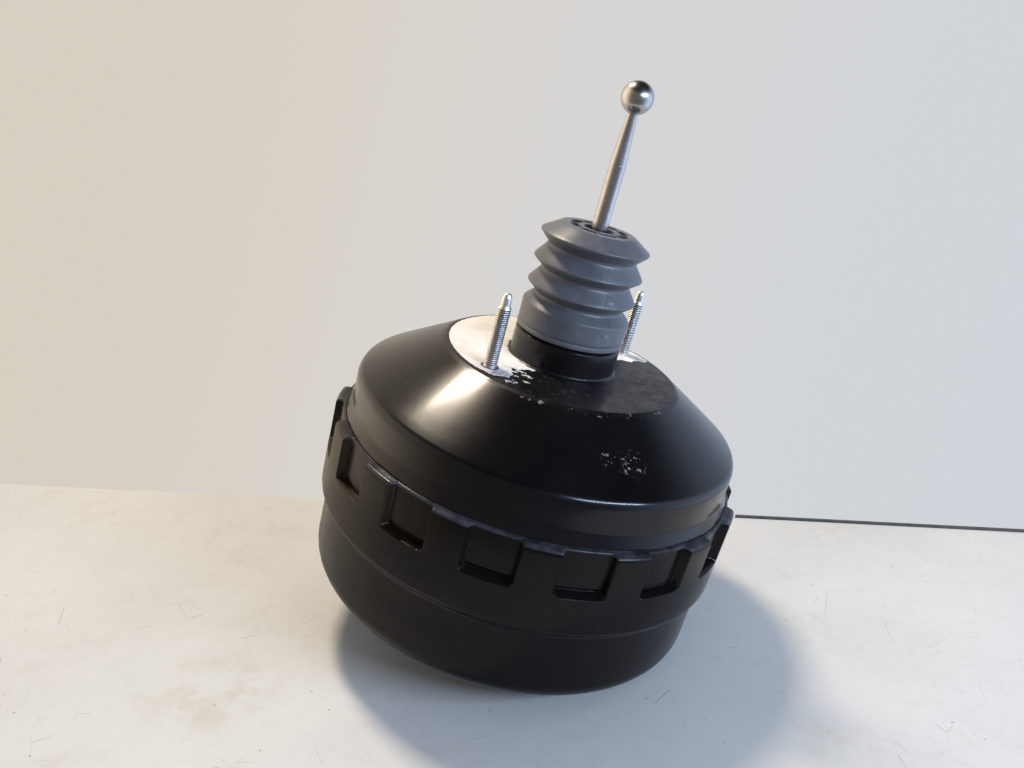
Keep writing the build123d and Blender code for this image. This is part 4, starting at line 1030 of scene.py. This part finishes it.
class BOOSTER_OT_stage(BuildOperator, bpy.types.Operator):
    """Stage: the pale floor, the soft lights, the room's light and the camera"""

    bl_idname = "booster.stage"
    bl_label = "Stage"

    corners = [(-543.9, 130.5), (-400.0, -300.0), (-60.0, -330.0), (330.0, -250.0), (463.3, 171.1)]
    gap_ends = [(185.4, 162.2), (463.0, 171.1)]

    def on_floor(self, s, x, y):
        """The floor's point at a place, in millimetres."""
        n = Vector(s.normal).normalized()
        return Vector((x, y, (s.drop - n.x * x - n.y * y) / n.z))

    def build(self, scene):
        s = scene.booster_stage
        top = [self.on_floor(s, x, y) for x, y in self.corners]
        below, m = Vector((0.0, 0.0, -4.0)), len(top)
        verts = [self.on_floor(s, -20.0, -40.0)] + top + [p + below for p in top]
        faces = [(0, 1 + k, 1 + (k + 1) % m) for k in range(m)]
        faces += [(1 + k, 1 + m + k, 1 + m + (k + 1) % m, 1 + (k + 1) % m) for k in range(m)]
        make_object("floor", verts, faces, floor_paint())
        # painted shade: a dark strip along the floor's far edge
        ends = [self.on_floor(s, x, y) for x, y in self.gap_ends]
        strip = [end + Vector((0.0, dy, dz)) for end in ends for dy in (0.0, 2.0) for dz in (0.2, 2.6)]
        sides = [(0, 4, 5, 1), (2, 3, 7, 6), (1, 5, 7, 3), (0, 2, 6, 4), (0, 1, 3, 2), (4, 6, 7, 5)]
        make_object("floor_gap", strip, sides, gap_shade())
        self.light("key", (-0.52, 0.27, 0.81), 1.3, (0.16, 0.26), s.key, (1.0, 0.86, 0.68))
        self.light("fill", (0.62, -0.52, 0.57), 1.35, (0.85, 0.055), s.fill, (0.56, 0.72, 1.0))
        self.room(scene, s)
        self.camera(scene, s)

    def light(self, name, direction, distance, size, power, colour):
        """Panel of light, in metres, that faces the drum from a direction."""
        data = bpy.data.lights.new(name, "AREA")
        data.shape = "RECTANGLE"
        data.size, data.size_y = size
        data.energy = power
        data.color = colour
        lamp = bpy.data.objects.new(name, data)
        aim = Vector(direction).normalized()
        lamp.location = aim * distance + Vector((0.0, 0.0, -0.04))
        lamp.rotation_euler = aim.to_track_quat("Z", "Y").to_euler()
        bpy.context.collection.objects.link(lamp)

    def room(self, scene, s):
        """A pale wall painted with warm light on the left and cool light on the right, an even light, and
        what shiny pieces mirror: bright sides under a dim ceiling.
        """
        world = bpy.data.worlds.new("room")
        scene.world = world
        world.use_nodes = True
        w = Nodes(world.node_tree)
        coords = w.node("ShaderNodeTexCoord", {}).outputs["Generated"]
        x, y, z = w.node("ShaderNodeSeparateXYZ", {0: coords}).outputs
        # painted light: the wall seen by the camera is warm on the left and cool on the right
        tones = (0.25, (0.69, 0.665, 0.63)), (0.5, (0.67, 0.665, 0.665))
        wall = w.ramp(w.band(x, -0.55, 0.55), (0.68, 0.62, 0.54), (0.62, 0.66, 0.70), tones)
        grain = w.node("ShaderNodeTexNoise", {"Vector": coords, "Scale": 160.0, "Detail": 5.0})
        wall = w.mix(0.04, wall, grain.outputs["Color"], "SOFT_LIGHT")
        tones = (0.3, (0.66, 0.60, 0.53)), (0.5, (0.62, 0.62, 0.62)), (0.7, (0.52, 0.60, 0.72))
        glow = w.ramp(w.band(x, -1.0, 1.0), (1.0, 0.84, 0.66), (0.58, 0.72, 1.0), tones)
        ceiling = w.band(z, 0.42, 0.78, 1.0, 0.02)
        behind = w.band(y, -0.75, 0.15, 0.32, 1.0)
        sides = w.band(w.math("ABSOLUTE", x), 0.62, 0.95, 1.0, 1.9)
        strength = w.product(ceiling, behind, sides)
        even = w.node("ShaderNodeBackground", {"Color": (0.95, 0.97, 1.0), "Strength": s.ambient})
        mirrored = w.node("ShaderNodeBackground", {"Color": glow, "Strength": strength})
        seen = w.node("ShaderNodeBackground", {"Color": wall})
        path = w.node("ShaderNodeLightPath", {}).outputs
        light = even.outputs[0]
        for ray, source in (("Is Glossy Ray", mirrored), ("Is Camera Ray", seen)):
            inputs = {0: path[ray], 1: light, 2: source.outputs[0]}
            light = w.node("ShaderNodeMixShader", inputs).outputs[0]
        w.node("ShaderNodeOutputWorld", {"Surface": light})

    def camera(self, scene, s):
        turn = Matrix.Rotation(s.yaw, 3, "Z")
        forward = turn @ Vector((0, math.cos(s.pitch), -math.sin(s.pitch)))
        up = turn @ Vector((0, math.sin(s.pitch), math.cos(s.pitch)))
        right = turn @ Vector((1, 0, 0))
        across = right * math.cos(s.roll) + up * math.sin(s.roll)
        above = up * math.cos(s.roll) - right * math.sin(s.roll)
        data = bpy.data.cameras.new("camera")
        data.lens = s.lens
        data.sensor_width = 36.0
        data.clip_start = 0.01
        camera = bpy.data.objects.new("camera", data)
        basis = Matrix((across, above, -forward)).transposed().to_4x4()
        camera.matrix_world = Matrix.Translation(Vector(s.eye) * MM) @ basis
        bpy.context.collection.objects.link(camera)
        scene.camera = camera
        scene.render.resolution_x, scene.render.resolution_y = 1024, 768
        scene.view_settings.view_transform = "Standard"


class BOOSTER_PT_build(bpy.types.Panel):
    """Sidebar panel with a button for each piece and the sizes it takes"""

    bl_label = "Brake Booster"
    bl_space_type = "VIEW_3D"
    bl_region_type = "UI"
    bl_category = "Booster"

    def draw(self, context):
        for name, group in GROUPS.items():
            box = self.layout.box()
            settings = getattr(context.scene, name)
            for key in group.__annotations__:
                box.prop(settings, key)
        for operator in OPERATORS:
            self.layout.operator(operator.bl_idname)


GROUPS = {
    "booster_shell": ShellSettings,
    "booster_pocket": PocketSettings,
    "booster_boot": BootSettings,
    "booster_thread": ThreadSettings,
    "booster_rod": RodSettings,
    "booster_gasket": GasketSettings,
    "booster_finish": FinishSettings,
    "booster_stage": StageSettings,
}
OPERATORS = (
    BOOSTER_OT_rear_shell,
    BOOSTER_OT_front_shell,
    BOOSTER_OT_dust_boot,
    BOOSTER_OT_studs,
    BOOSTER_OT_input_rod,
    BOOSTER_OT_gasket,
    BOOSTER_OT_inner_finishes,
    BOOSTER_OT_stage,
)


def register():
    for cls in (*GROUPS.values(), *OPERATORS, BOOSTER_PT_build):
        bpy.utils.register_class(cls)
    for name, group in GROUPS.items():
        setattr(bpy.types.Scene, name, PointerProperty(type=group))


def unregister():
    for name in GROUPS:
        delattr(bpy.types.Scene, name)
    for cls in reversed((*GROUPS.values(), *OPERATORS, BOOSTER_PT_build)):
        bpy.utils.unregister_class(cls)


def main():
    register()
    bpy.ops.booster.rear_shell()
    bpy.ops.booster.front_shell()
    bpy.ops.booster.dust_boot()
    bpy.ops.booster.studs()
    bpy.ops.booster.input_rod()
    bpy.ops.booster.gasket()
    bpy.ops.booster.inner_finishes()
    bpy.ops.booster.stage()


if __name__ == "__main__":
    main()
